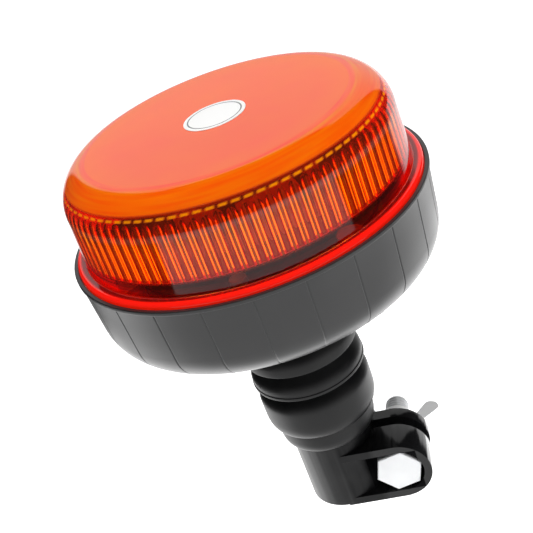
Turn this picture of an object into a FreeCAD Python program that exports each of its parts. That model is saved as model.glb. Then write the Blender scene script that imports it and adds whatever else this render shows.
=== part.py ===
import FreeCAD
import Part
import Sketcher

import math
import os
import re

# Amber flashing beacon on a ribbed rubber neck with a split pole clamp.
# Millimetres. The origin is the middle of the pole socket's mouth, +Z runs up the bore to the lens,
# the clamp's ears point along +X and its bolt lies along Y, with the head on the -Y side.

# Driving sizes, one cell of the sheet each.
SIZES = {
    # Pole socket: a split tube with a stepped bore and a bead that the rubber grips.
    "bore_radius": 12.5,
    "bore_depth": 34.0,
    "socket_wall": 3.8,
    "mouth_bevel": 0.8,
    "ring_seat_depth": 1.2,
    "ring_seat_inset": 0.5,
    "chamber_radius": 10.5,
    "chamber_height": 12.8,
    "web_thickness": 4.0,
    "bead_width": 1.7,
    "bead_height": 3.0,
    "bead_drop": 3.0,
    "stem_taper": 1.0,
    # Clamp ears.
    "ear_radius": 13.0,
    "bolt_offset": 7.4,
    "split_gap": 4.8,
    "split_run": 2.0,
    "front_web": 6.8,
    "rear_ear": 5.2,
    # Clamp bolt, washer and wing nut.
    "bolt_radius": 5.0,
    "bolt_length": 35.0,
    "bolt_head_flat": 8.5,
    "bolt_head_height": 6.4,
    "bolt_clearance": 0.4,
    "head_turn": 15.0,
    "head_clearance": 0.12,
    "ear_inset": 0.2,
    "thread_clearance": 0.05,
    "washer_radius": 8.8,
    "washer_thickness": 2.0,
    "nut_hub_radius": 8.2,
    "nut_hub_height": 7.5,
    "nut_hub_taper": 1.6,
    "wing_reach": 17.4,
    "wing_thickness": 2.6,
    "wing_root_height": 2.5,
    "wing_valley": 0.5,
    "wing_outer_slant": 48.0,
    "wing_inner_slant": 60.0,
    "wing_tip_height": 16.2,
    "wing_tip_round": 3.1,
    # Sprung centre contact and earth ring in the socket's roof.
    "contact_reach": 0.4,
    "tip_radius": 3.5,
    "tip_length": 2.6,
    "tip_crown": 1.3,
    "collar_radius": 4.6,
    "collar_thickness": 1.5,
    "contact_stem_radius": 2.5,
    "contact_stem_end": 1.2,
    "contact_clearance": 0.08,
    "holder_flange_radius": 8.0,
    "holder_flange": 2.0,
    "holder_sleeve_radius": 5.0,
    "holder_sleeve_rise": 2.0,
    "holder_clearance": 0.1,
    "clip_radius": 4.4,
    "clip_thickness": 0.8,
    "spring_wire": 0.45,
    "spring_radius": 3.6,
    "spring_turns": 3.0,
    "spring_seat_gap": 0.05,
    "ring_inner_radius": 8.8,
    "ring_clearance": 0.1,
    # Rubber neck.
    "tube_show": 31.9,
    "neck_collar_wall": 3.1,
    "neck_collar_height": 9.0,
    "bell_step": 2.9,
    "bell_height": 19.8,
    "bell_shoulder": 3.2,
    "fold_count": 3,
    "fold_step": 0.3,
    "fold_pitch": 11.25,
    "fold_lip": 1.2,
    "fold_shoulder": 5.0,
    "shoulder_rise": 2.1,
    "shoulder_width": 2.4,
    "groove_depth": 3.6,
    "neck_head_height": 8.35,
    "neck_head_step": 1.2,
    "neck_bore_radius": 6.0,
    "neck_cone_height": 8.0,
    "stem_gap": 0.3,
    "head_gap": 0.2,
    # Hollow stud in the top of the neck, with its washer and nut.
    "stud_radius": 8.0,
    "stud_bore_radius": 4.5,
    "stud_flange_radius": 16.0,
    "stud_flange": 3.0,
    "stud_flange_depth": 15.0,
    "stud_end": 0.5,
    "stud_clearance": 0.3,
    "stud_washer_radius": 15.0,
    "stud_washer": 1.5,
    "stud_nut_flat": 12.0,
    "stud_nut_height": 6.0,
    # Base shell.
    "base_rim_radius": 65.75,
    "base_depth": 33.0,
    "base_wall": 2.5,
    "base_draft": 1.8,
    "base_corner": 13.0,
    "lip_step": 0.55,
    "lip_band": 1.5,
    "lip_wall": 1.55,
    "lip_height": 3.0,
    "seam_count": 24,
    "seam_width": 0.7,
    "seam_depth": 0.4,
    "seam_gap": 1.0,
    "boss_radius": 4.5,
    "boss_drop": 13.0,
    "well_depth": 7.0,
    "post_radius": 3.5,
    # Lens, gasket and label.
    "lens_height": 34.3,
    "lens_wall": 2.5,
    "lens_draft": 0.7,
    "lens_edge": 13.3,
    "lens_fit": 0.2,
    "flange_width": 3.5,
    "flange_thickness": 3.2,
    "flange_bevel": 1.6,
    "foot_height": 3.4,
    "foot_wall": 0.8,
    "flute_count": 90,
    "flute_width": 3.0,
    "flute_depth": 1.2,
    "flute_root": 0.4,
    "flute_rise": 5.2,
    "lens_boss_overlap": 1.2,
    "gasket_thickness": 1.5,
    "gasket_gap": 0.2,
    "label_radius": 11.2,
    "label_thickness": 0.2,
    # Screws.
    "screw_radius": 1.4,
    "screw_head_radius": 2.9,
    "screw_head": 2.2,
    "screw_grip": 10.0,
    "screw_clearance": 0.2,
    # Driver board and what stands on it.
    "board_thickness": 1.6,
    "board_gap": 1.2,
    "socket_length": 12.0,
    "socket_width": 9.0,
    "socket_height": 3.0,
    "lead_gap": 0.5,
    "capacitor_radius": 5.0,
    "capacitor_height": 11.5,
    "capacitor_place": 14.0,
    "inductor_radius": 6.5,
    "inductor_waist": 4.6,
    "inductor_height": 7.5,
    "inductor_place": 17.0,
    "chip_length": 5.0,
    "chip_width": 4.0,
    "chip_height": 1.5,
    "chip_place": 24.0,
    "chip_spread": 6.0,
    "spacer_height": 8.0,
    "post_inset": 1.0,
    # Six-sided carrier with its boards, emitters and cap.
    "carrier_margin": 15.0,
    "carrier_wall": 2.5,
    "carrier_flange": 2.0,
    "roof_gap": 14.0,
    "cap_thickness": 2.0,
    "cap_plug": 3.0,
    "cap_clearance": 0.2,
    "led_board_thickness": 1.2,
    "led_board_height": 18.0,
    "led_board_margin": 3.5,
    "led_size": 5.0,
    "led_body": 1.2,
    "led_pitch": 7.0,
    # Lead through the neck.
    "cable_radius": 2.6,
    "core_radius": 0.9,
    "core_length": 6.0,
    "core_gap": 0.3,
    "earth_core_reach": 8.0,
}

# Radii and levels that follow from the sizes.
RULES = {
    "socket_radius": "bore_radius + socket_wall",
    "ring_seat_radius": "bore_radius - ring_seat_inset",
    "chamber_z": "bore_depth + ring_seat_depth",
    "web_z": "chamber_z + chamber_height",
    "stem_top_z": "web_z + web_thickness",
    "bead_radius": "socket_radius + bead_width",
    "bead_z": "stem_top_z - bead_drop - bead_height",
    "bolt_x": "socket_radius + bolt_offset",
    "bolt_z": "ear_radius",
    "half_gap": "split_gap / 2",
    "bolt_seat_y": "half_gap + front_web",
    "ear_front_y": "socket_radius - ear_inset",
    "ear_rear_y": "half_gap + rear_ear",
    "nut_y": "ear_rear_y + washer_thickness",
    "bolt_head_corner": "bolt_head_flat / cos(30)",
    "recess_half": "bolt_head_corner * cos(head_turn) + head_clearance",
    "recess_round": "bolt_head_corner + head_clearance",
    "recess_end_x": "bolt_x + sqrt(recess_round ^ 2 - recess_half ^ 2)",
    "bolt_bore": "bolt_radius + thread_clearance",
    "wing_end_across": "wing_reach - wing_tip_round",
    "wing_end_up": "wing_tip_height - wing_tip_round",
    "wing_end_slant": "(wing_outer_slant + wing_inner_slant) / 2",
    "wing_outer_across": "wing_end_across + wing_tip_round * sin(wing_outer_slant)",
    "wing_outer_up": "wing_end_up - wing_tip_round * cos(wing_outer_slant)",
    "wing_inner_across": "wing_end_across - wing_tip_round * sin(wing_inner_slant)",
    "wing_inner_up": "wing_end_up + wing_tip_round * cos(wing_inner_slant)",
    "wing_valley_up": "nut_hub_height - wing_valley",
    "wing_root_across": "wing_outer_across - (wing_outer_up - wing_root_height) / tan(wing_outer_slant)",
    "wing_valley_across": "wing_inner_across - (wing_inner_up - wing_valley_up) / tan(wing_inner_slant)",
    "tip_round": "(tip_radius ^ 2 + tip_crown ^ 2) / (2 * tip_crown)",
    "tip_z": "bore_depth + contact_reach",
    "collar_z": "tip_z + tip_length",
    "spring_z": "collar_z + collar_thickness",
    "holder_z": "web_z - holder_flange",
    "holder_top_z": "stem_top_z + holder_sleeve_rise",
    "stem_end_z": "holder_top_z + clip_thickness + contact_stem_end",
    "spring_margin": "spring_wire + spring_seat_gap",
    "spring_height": "holder_z - spring_z - 2 * spring_margin",
    "neck_collar_radius": "socket_radius + neck_collar_wall",
    "bell_radius": "neck_collar_radius + bell_step",
    "fold_radius": "bell_radius + fold_step",
    "groove_radius": "fold_radius - groove_depth",
    "neck_head_radius": "fold_radius + neck_head_step",
    "bell_z": "tube_show + neck_collar_height",
    "folds_z": "bell_z + bell_height",
    "neck_head_z": "folds_z + fold_count * fold_pitch",
    "neck_top_z": "neck_head_z + neck_head_height",
    "cavity_top_z": "stem_end_z + neck_cone_height",
    "floor_z": "neck_top_z + head_gap",
    "floor_top_z": "floor_z + base_wall",
    "stud_z": "floor_z - stud_flange_depth",
    "stud_nut_z": "floor_top_z + stud_washer",
    "stud_top_z": "stud_nut_z + stud_nut_height + stud_end",
    "stud_hole": "stud_radius + stud_clearance",
    "rim_z": "floor_z + base_depth",
    "ledge_z": "rim_z - lip_height",
    "base_top_radius": "base_rim_radius - lip_step",
    "base_side_radius": "base_top_radius - base_draft",
    "base_floor_radius": "base_side_radius - base_corner",
    "base_inner_corner": "base_corner - base_wall",
    "lip_radius": "base_rim_radius - lip_wall",
    "flange_radius": "lip_radius - lens_fit",
    "lens_radius": "flange_radius - flange_width",
    "lens_top_radius": "lens_radius - lens_draft",
    "lens_inner_radius": "lens_top_radius - lens_wall",
    "lens_flat_radius": "lens_top_radius - lens_edge",
    "lens_inner_edge": "lens_edge - lens_wall",
    "foot_radius": "lens_inner_radius - foot_wall",
    "flange_z": "ledge_z + gasket_thickness",
    "flange_top_z": "flange_z + flange_thickness",
    "foot_top_z": "flange_top_z + foot_height",
    "flute_z": "foot_top_z + foot_wall",
    "lens_top_z": "rim_z + lens_height",
    "lens_edge_z": "lens_top_z - lens_edge",
    "screw_circle": "foot_radius + lens_boss_overlap - boss_radius",
    "boss_meet_z": "ledge_z - boss_drop",
    "screw_seat_z": "floor_z + well_depth",
    "screw_end_z": "boss_meet_z + screw_grip",
    "board_radius": "screw_circle - boss_radius - board_gap",
    "post_circle": "board_radius - post_radius - post_inset",
    "board_z": "stud_top_z + lead_gap + socket_height",
    "board_top_z": "board_z + board_thickness",
    "carrier_z": "board_top_z + spacer_height",
    "carrier_flange_z": "carrier_z + carrier_flange",
    "carrier_flat": "post_circle - post_radius - carrier_margin",
    "carrier_hollow": "carrier_flat - carrier_wall",
    "carrier_top_z": "lens_top_z - lens_wall - roof_gap - cap_thickness",
    "led_board_width": "2 * carrier_flat * tan(30) - 2 * led_board_margin",
    "led_board_z": "(carrier_flange_z + carrier_top_z - led_board_height) / 2",
    "led_face": "carrier_flat + led_board_thickness",
    "led_z": "led_board_z + led_board_height / 2 - led_size / 2",
    "cable_z": "stem_end_z + core_length",
    "cable_top_z": "board_z - socket_height",
    "earth_core_drop": "cable_z + core_length / 2 - stem_top_z - core_gap - core_radius",
}

LENS_SCREWS = 4
POSTS = 3
SIDES = 6
LEDS_PER_BOARD = 3
POST_START = 30.0
BOSS_START = 45.0
WING_TURN = 12.0

doc = FreeCAD.newDocument("warning_beacon")
sheet = doc.addObject("Spreadsheet::Sheet", "Sizes")
for row, (alias, value) in enumerate(SIZES.items(), 1):
    sheet.set("A%d" % row, alias)
    sheet.set("B%d" % row, str(value))
    sheet.setAlias("B%d" % row, alias)
doc.recompute()

nodes = []


def formula(text):
    """A rule in plain size names, as an expression on the sheet's cells."""
    def spell(match):
        word = match.group(0)
        if word in SIZES:
            return "Sizes." + word
        if word in RULES:
            return "(" + formula(RULES[word]) + ")"
        return word
    return re.sub(r"[a-z][a-z_]*", spell, text)


def number(text):
    """The present value of a rule."""
    return float(sheet.evalExpression(formula(text)))


def bind(item, **rules):
    """Tie properties of an object to rules; x, y and z stand for its place."""
    for name, rule in rules.items():
        path = "Placement.Base." + name if name in ("x", "y", "z") else name
        item.setExpression(path, formula(rule))
    return item


def keep(item, name):
    """Give a finished piece its name and put it on the list to be written."""
    item.Label = name
    nodes.append(item)
    return item


def turn(axis, angle):
    return FreeCAD.Rotation(FreeCAD.Vector(*axis), angle)


# Primitives for the plain turned and flat pieces.

def cylinder(radius, height, **place):
    return bind(doc.addObject("Part::Cylinder", "Round"), Radius=radius, Height=height, **place)


def box(length, width, height, **place):
    return bind(doc.addObject("Part::Box", "Block"), Length=length, Width=width, Height=height, **place)


def prism(flat, height, **place):
    """Six-sided bar with the given half width across its flats, flats facing along its X."""
    item = doc.addObject("Part::Prism", "Hexagon")
    item.Polygon = SIDES
    item.Placement.Rotation = turn((0, 0, 1), 30)
    return bind(item, Circumradius="(%s) / cos(30)" % flat, Height=height, **place)


def cut(base, tool):
    item = doc.addObject("Part::Cut", "Cut")
    item.Base = base
    item.Tool = tool
    return item


def fuse(*items):
    item = doc.addObject("Part::MultiFuse", "Joined")
    item.Shapes = list(items)
    return item


def group(items):
    item = doc.addObject("Part::Compound", "Set")
    item.Links = items
    return item


def tube(radius, hole, height, **place):
    """A plain ring: washer, spacer or gasket."""
    return cut(cylinder(radius, height, **place), cylinder(hole, height, **place))


def ring_angles(count, start):
    return [start + 360.0 * step / count for step in range(count)]


def on_circle(radius, angle):
    """Place rules for a point on a circle round the Z axis."""
    return {"x": "%s * cos(%g)" % (radius, angle), "y": "%s * sin(%g)" % (radius, angle)}


# Bodies made from sketches.

def new_body(name):
    return keep(doc.addObject("PartDesign::Body", name), name)


def plane_of(body, role):
    return next(plane for plane in body.Origin.OriginFeatures if plane.Role == role)


def axis_of(body):
    return (plane_of(body, "Z_Axis"), [""])


def sketch_on(body, role, offset=None, swing=0.0):
    """A sketch on one of the body's own planes, moved along or swung about its upright."""
    sketch = body.newObject("Sketcher::SketchObject", "Sketch")
    sketch.AttachmentSupport = [(plane_of(body, role), "")]
    sketch.MapMode = "FlatFace"
    sketch.AttachmentOffset = FreeCAD.Placement(FreeCAD.Vector(), turn((0, 1, 0), swing))
    if offset:
        sketch.setExpression("AttachmentOffset.Base.z", formula(offset))
    return sketch


def name_constraint(sketch, constraint, name, rule):
    index = sketch.addConstraint(constraint)
    sketch.renameConstraint(index, name)
    sketch.setExpression("Constraints." + name, formula(rule))


def round_edge(start, end, radius, side):
    """An arc between two points; side 1 bulges to the left of the way from start to end."""
    chord = end - start
    reach = math.sqrt(max(radius ** 2 - (chord.Length / 2) ** 2, 0.0))
    left = FreeCAD.Vector(-chord.y, chord.x, 0).normalize()
    centre = (start + end) * 0.5 - left * side * reach
    circle = Part.Circle(centre, FreeCAD.Vector(0, 0, 1), radius)
    first, last = (end, start) if side > 0 else (start, end)
    angles = [math.atan2(point.y - centre.y, point.x - centre.x) for point in (first, last)]
    if angles[1] < angles[0]:
        angles[1] += 2 * math.pi
    return Part.ArcOfCircle(circle, angles[0], angles[1])


def outline(sketch, corners):
    """A closed outline. Each corner holds its two place rules and, where the edge to the next corner
    is round, that edge's radius rule and the side to which it bulges."""
    points = [FreeCAD.Vector(number(corner[0]), number(corner[1]), 0) for corner in corners]
    ends = []
    for index, corner in enumerate(corners):
        start, end = points[index], points[(index + 1) % len(points)]
        if len(corner) > 2:
            edge = sketch.addGeometry(round_edge(start, end, number(corner[2]), corner[3]), False)
            ends.append((edge, 2, 1) if corner[3] > 0 else (edge, 1, 2))
        else:
            edge = sketch.addGeometry(Part.LineSegment(start, end), False)
            ends.append((edge, 1, 2))
    for index, corner in enumerate(corners):
        edge, first, last = ends[index]
        following = ends[(index + 1) % len(ends)]
        sketch.addConstraint(Sketcher.Constraint("Coincident", edge, last, following[0], following[1]))
        if corner[0] == "0":
            sketch.addConstraint(Sketcher.Constraint("PointOnObject", edge, first, -2))
        else:
            across = Sketcher.Constraint("DistanceX", -1, 1, edge, first, points[index].x)
            name_constraint(sketch, across, "across_%d" % index, corner[0])
        if corner[1] == "0":
            sketch.addConstraint(Sketcher.Constraint("PointOnObject", edge, first, -1))
        else:
            upward = Sketcher.Constraint("DistanceY", -1, 1, edge, first, points[index].y)
            name_constraint(sketch, upward, "up_%d" % index, corner[1])
        if len(corner) > 2:
            bend = Sketcher.Constraint("Radius", edge, number(corner[2]))
            name_constraint(sketch, bend, "round_%d" % index, corner[2])
    return sketch


def ring(sketch, radius, across="0", up="0"):
    """A circle about a point of the sketch."""
    centre = FreeCAD.Vector(number(across), number(up), 0)
    edge = sketch.addGeometry(Part.Circle(centre, FreeCAD.Vector(0, 0, 1), number(radius)), False)
    for name, kind, rule, axis in (("across", "DistanceX", across, -2), ("up", "DistanceY", up, -1)):
        if rule == "0":
            sketch.addConstraint(Sketcher.Constraint("PointOnObject", edge, 3, axis))
        else:
            distance = Sketcher.Constraint(kind, -1, 1, edge, 3, number(rule))
            name_constraint(sketch, distance, "%s_%d" % (name, edge), rule)
    name_constraint(sketch, Sketcher.Constraint("Radius", edge, number(radius)), "radius_%d" % edge, radius)
    return sketch


def hexagon(flat):
    """Corners of a six-sided outline about the origin, flats facing along its first axis."""
    corner = "(%s) / cos(30)" % flat
    return [("%s * cos(%d)" % (corner, angle), "%s * sin(%d)" % (corner, angle))
            for angle in range(30, 360, 60)]


def feature(body, kind, sketch, length=None, reverse=False, both_ways=False):
    """Add or cut material from a sketch and make sure that the step changed the body."""
    before = body.Shape.Volume if body.Tip and not body.Shape.isNull() else 0.0
    item = body.newObject("PartDesign::" + kind, kind)
    item.Profile = sketch
    if kind in ("Revolution", "Groove"):
        item.ReferenceAxis = (sketch, ["V_Axis"])
        item.Angle = 360.0
    else:
        item.setExpression("Length", formula(length))
        item.Reversed = reverse
        item.SideType = "Symmetric" if both_ways else "One side"
    doc.recompute()
    grows = kind in ("Pad", "Revolution")
    change = body.Shape.Volume - before
    if (change > 0) != grows or abs(change) < 1e-6:
        raise RuntimeError("%s of %s left the body as it was" % (kind, body.Label))
    return item


def repeat(body, original, count):
    """Repeat a feature evenly round the Z axis."""
    item = body.newObject("PartDesign::PolarPattern", "Pattern")
    item.Originals = [original]
    item.Axis = axis_of(body)
    item.Angle = 360.0
    if count in SIZES:
        item.setExpression("Occurrences", formula(count))
    else:
        item.Occurrences = int(count)
    body.Tip = item
    doc.recompute()
    return item


def turned(name, corners):
    """A piece of revolution about the Z axis."""
    body = new_body(name)
    feature(body, "Revolution", outline(sketch_on(body, "XZ_Plane"), corners))
    return body


def clamp_socket():
    """Split tube with two ears; the front ear is deep, with a slot in which the bolt head's corners jam."""
    body = new_body("clamp_socket")
    ear = [
        ("0", "0"),
        ("bolt_x", "0", "ear_radius", -1),
        ("bolt_x + ear_radius", "bolt_z", "ear_radius", -1),
        ("bolt_x", "2 * ear_radius"),
        ("0", "2 * ear_radius"),
    ]
    front = outline(sketch_on(body, "XZ_Plane", "half_gap"), ear)
    feature(body, "Pad", front, "ear_front_y - half_gap")
    recess = outline(sketch_on(body, "XZ_Plane", "ear_front_y"), [
        ("0", "bolt_z - recess_half"),
        ("recess_end_x", "bolt_z - recess_half", "recess_round", -1),
        ("recess_end_x", "bolt_z + recess_half"),
        ("0", "bolt_z + recess_half"),
    ])
    feature(body, "Pocket", recess, "ear_front_y - bolt_seat_y")
    feature(body, "Revolution", outline(sketch_on(body, "XZ_Plane"), [
        ("0", "0"),
        ("socket_radius - mouth_bevel", "0"),
        ("socket_radius", "mouth_bevel"),
        ("socket_radius", "bead_z"),
        ("bead_radius", "bead_z"),
        ("bead_radius", "bead_z + bead_height"),
        ("socket_radius - stem_taper", "stem_top_z"),
        ("0", "stem_top_z"),
    ]))
    rear = outline(sketch_on(body, "XZ_Plane", "-half_gap"), ear)
    feature(body, "Pad", rear, "rear_ear", reverse=True)
    feature(body, "Groove", outline(sketch_on(body, "XZ_Plane"), [
        ("0", "0"),
        ("bore_radius", "0"),
        ("bore_radius", "bore_depth"),
        ("ring_seat_radius", "bore_depth"),
        ("ring_seat_radius", "chamber_z"),
        ("chamber_radius", "chamber_z"),
        ("chamber_radius", "web_z"),
        ("holder_sleeve_radius + holder_clearance", "web_z"),
        ("holder_sleeve_radius + holder_clearance", "stem_top_z"),
        ("0", "stem_top_z"),
    ]))
    split = outline(sketch_on(body, "XZ_Plane"), [
        ("0", "-split_run"),
        ("bolt_x + 2 * ear_radius", "-split_run"),
        ("bolt_x + 2 * ear_radius", "2 * ear_radius + split_run"),
        ("0", "2 * ear_radius + split_run"),
    ])
    feature(body, "Pocket", split, "split_gap", both_ways=True)
    hole = ring(sketch_on(body, "XZ_Plane"), "bolt_radius + bolt_clearance", "bolt_x", "bolt_z")
    feature(body, "Pocket", hole, "2 * (ear_front_y + ear_rear_y)", both_ways=True)


def clamp_fasteners():
    """Hex bolt in the recess, with a washer and a wing nut behind the rear ear."""
    along = turn((1, 0, 0), -90)
    head = prism("bolt_head_flat", "bolt_head_height", x="bolt_x", y="-bolt_seat_y - bolt_head_height",
                 z="bolt_z")
    head.Placement.Rotation = turn((0, 1, 0), 30 + SIZES["head_turn"]) * along
    shank = cylinder("bolt_radius", "bolt_length", x="bolt_x", y="-bolt_seat_y", z="bolt_z")
    shank.Placement.Rotation = along
    keep(fuse(head, shank), "clamp_bolt")

    disc = cylinder("washer_radius", "washer_thickness", x="bolt_x", y="ear_rear_y", z="bolt_z")
    disc.Placement.Rotation = along
    hole = cylinder("bolt_radius + bolt_clearance", "washer_thickness", x="bolt_x", y="ear_rear_y",
                    z="bolt_z")
    hole.Placement.Rotation = along
    keep(cut(disc, hole), "clamp_washer")

    body = turned("wing_nut", [
        ("bolt_bore", "0"),
        ("nut_hub_radius", "0"),
        ("nut_hub_radius - nut_hub_taper", "nut_hub_height"),
        ("bolt_bore", "nut_hub_height"),
    ])
    wing = outline(sketch_on(body, "XZ_Plane"), [
        ("nut_hub_radius - nut_hub_taper", "wing_root_height"),
        ("wing_root_across", "wing_root_height"),
        ("wing_outer_across", "wing_outer_up", "wing_tip_round", -1),
        ("wing_end_across + wing_tip_round * cos(wing_end_slant)",
         "wing_end_up + wing_tip_round * sin(wing_end_slant)", "wing_tip_round", -1),
        ("wing_inner_across", "wing_inner_up"),
        ("wing_valley_across", "wing_valley_up"),
        ("nut_hub_radius - nut_hub_taper", "wing_valley_up"),
    ])
    repeat(body, feature(body, "Pad", wing, "wing_thickness", both_ways=True), 2)
    body.Placement.Rotation = turn((0, 1, 0), WING_TURN) * turn((1, 0, 0), -90)
    bind(body, x="bolt_x", y="nut_y", z="bolt_z")


def contacts():
    """Sprung plunger in an insulating bush, and the earth ring that the pole's end meets."""
    turned("contact_holder", [
        ("contact_stem_radius + contact_clearance", "holder_z"),
        ("holder_flange_radius", "holder_z"),
        ("holder_flange_radius", "web_z"),
        ("holder_sleeve_radius", "web_z"),
        ("holder_sleeve_radius", "holder_top_z"),
        ("contact_stem_radius + contact_clearance", "holder_top_z"),
    ])
    turned("centre_contact", [
        ("0", "tip_z", "tip_round", -1),
        ("tip_radius", "tip_z + tip_crown"),
        ("tip_radius", "collar_z"),
        ("collar_radius", "collar_z"),
        ("collar_radius", "spring_z"),
        ("contact_stem_radius", "spring_z"),
        ("contact_stem_radius", "stem_end_z"),
        ("0", "stem_end_z"),
    ])
    keep(tube("clip_radius", "contact_stem_radius", "clip_thickness", z="holder_top_z"), "contact_clip")
    keep(tube("ring_seat_radius - ring_clearance", "ring_inner_radius", "ring_seat_depth", z="bore_depth"),
         "earth_ring")

    coil = bind(doc.addObject("Part::Helix", "Coil"), Radius="spring_radius", Height="spring_height",
                Pitch="spring_height / spring_turns", z="spring_z + spring_margin")
    wire = doc.addObject("Part::RegularPolygon", "Wire")
    wire.Polygon = 4
    climb = math.degrees(math.atan(number("spring_height / spring_turns / spring_radius") / (2 * math.pi)))
    wire.Placement.Rotation = turn((1, 0, 0), 90 - climb)
    bind(wire, Circumradius="spring_wire", x="spring_radius", z="spring_z + spring_margin")
    spring = doc.addObject("Part::Sweep", "Spring")
    spring.Sections = [wire]
    spring.Spine = (coil, ["Edge1"])
    spring.Solid = True
    spring.Frenet = True
    keep(spring, "contact_spring")


def flexible_neck():
    """Rubber moulding: collar and bell over the socket's stem, undercut folds and a head for the stud."""
    corners = [
        ("socket_radius + stem_gap", "tube_show"),
        ("neck_collar_radius", "tube_show"),
        ("neck_collar_radius", "bell_z"),
        ("bell_radius", "bell_z + bell_shoulder"),
        ("bell_radius", "folds_z - fold_shoulder"),
        ("groove_radius + shoulder_width", "folds_z - shoulder_rise"),
        ("groove_radius", "folds_z"),
    ]
    for fold in range(SIZES["fold_count"]):
        foot = "folds_z + %d * fold_pitch" % fold
        top = "folds_z + %d * fold_pitch" % (fold + 1)
        corners += [
            ("fold_radius", foot + " + fold_lip"),
            ("bell_radius", top + " - fold_shoulder"),
            ("groove_radius + shoulder_width", top + " - shoulder_rise"),
            ("groove_radius", top),
        ]
    corners += [
        ("neck_head_radius", "neck_head_z + fold_lip"),
        ("neck_head_radius", "neck_top_z"),
        ("stud_radius + stem_gap", "neck_top_z"),
        ("stud_radius + stem_gap", "stud_z + stud_flange + stem_gap"),
        ("stud_flange_radius + stem_gap", "stud_z + stud_flange + stem_gap"),
        ("stud_flange_radius + stem_gap", "stud_z - stem_gap"),
        ("neck_bore_radius", "stud_z - stem_gap"),
        ("neck_bore_radius", "cavity_top_z"),
        ("socket_radius - stem_taper + stem_gap", "stem_top_z + stem_gap"),
        ("bead_radius + stem_gap", "bead_z + bead_height + stem_gap"),
        ("bead_radius + stem_gap", "bead_z - stem_gap"),
        ("socket_radius + stem_gap", "bead_z - stem_gap"),
    ]
    turned("flexible_neck", corners)


def neck_stud():
    """Hollow stud whose flange is held in the rubber; washer and nut draw the base down on the neck."""
    turned("neck_stud", [
        ("stud_bore_radius", "stud_z"),
        ("stud_flange_radius", "stud_z"),
        ("stud_flange_radius", "stud_z + stud_flange"),
        ("stud_radius", "stud_z + stud_flange"),
        ("stud_radius", "stud_top_z"),
        ("stud_bore_radius", "stud_top_z"),
    ])
    keep(tube("stud_washer_radius", "stud_hole", "stud_washer", z="floor_top_z"), "stud_washer")
    nut = prism("stud_nut_flat", "stud_nut_height", z="stud_nut_z")
    hole = cylinder("stud_radius + thread_clearance", "stud_nut_height", z="stud_nut_z")
    keep(cut(nut, hole), "stud_nut")


def base_shell():
    """Shallow tub with a rounded foot, a lip for the lens, screw bosses, board posts and fine seams."""
    body = turned("base_shell", [
        ("stud_hole", "floor_z"),
        ("base_floor_radius", "floor_z", "base_corner", -1),
        ("base_side_radius", "floor_z + base_corner"),
        ("base_top_radius", "rim_z - lip_band"),
        ("base_rim_radius", "rim_z - lip_band"),
        ("base_rim_radius", "rim_z"),
        ("lip_radius", "rim_z"),
        ("lip_radius", "ledge_z"),
        ("base_top_radius - base_wall", "ledge_z"),
        ("base_side_radius - base_wall", "floor_z + base_corner"),
        ("base_floor_radius + base_inner_corner * cos(45)",
         "floor_z + base_corner - base_inner_corner * sin(45)"),
        ("base_floor_radius", "floor_top_z"),
        ("stud_hole", "floor_top_z"),
    ])
    diagonal = "screw_circle * cos(%g)" % BOSS_START
    boss = ring(sketch_on(body, "XY_Plane", "floor_top_z"), "boss_radius", diagonal, diagonal)
    repeat(body, feature(body, "Pad", boss, "boss_meet_z - floor_top_z"), LENS_SCREWS)
    well = ring(sketch_on(body, "XY_Plane", "floor_z"), "screw_head_radius + screw_clearance",
                diagonal, diagonal)
    repeat(body, feature(body, "Pocket", well, "well_depth", reverse=True), LENS_SCREWS)
    hole = ring(sketch_on(body, "XY_Plane", "floor_z"), "screw_radius + screw_clearance", diagonal, diagonal)
    repeat(body, feature(body, "Pocket", hole, "base_depth", reverse=True), LENS_SCREWS)

    place = ["post_circle * cos(%g)" % POST_START, "post_circle * sin(%g)" % POST_START]
    post = ring(sketch_on(body, "XY_Plane", "floor_top_z"), "post_radius", *place)
    repeat(body, feature(body, "Pad", post, "board_z - floor_top_z"), POSTS)
    pilot = ring(sketch_on(body, "XY_Plane", "board_z"), "screw_radius + thread_clearance", *place)
    repeat(body, feature(body, "Pocket", pilot, "screw_grip"), POSTS)

    half_pitch = 180.0 / SIZES["seam_count"]
    seam = outline(sketch_on(body, "XZ_Plane", swing=half_pitch), [
        ("base_side_radius - seam_depth", "floor_z + base_corner + seam_gap"),
        ("base_rim_radius", "floor_z + base_corner + seam_gap"),
        ("base_rim_radius", "rim_z - lip_band - seam_gap"),
        ("base_top_radius - seam_depth", "rim_z - lip_band - seam_gap"),
    ])
    repeat(body, feature(body, "Pocket", seam, "seam_width", both_ways=True), "seam_count")


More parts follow.
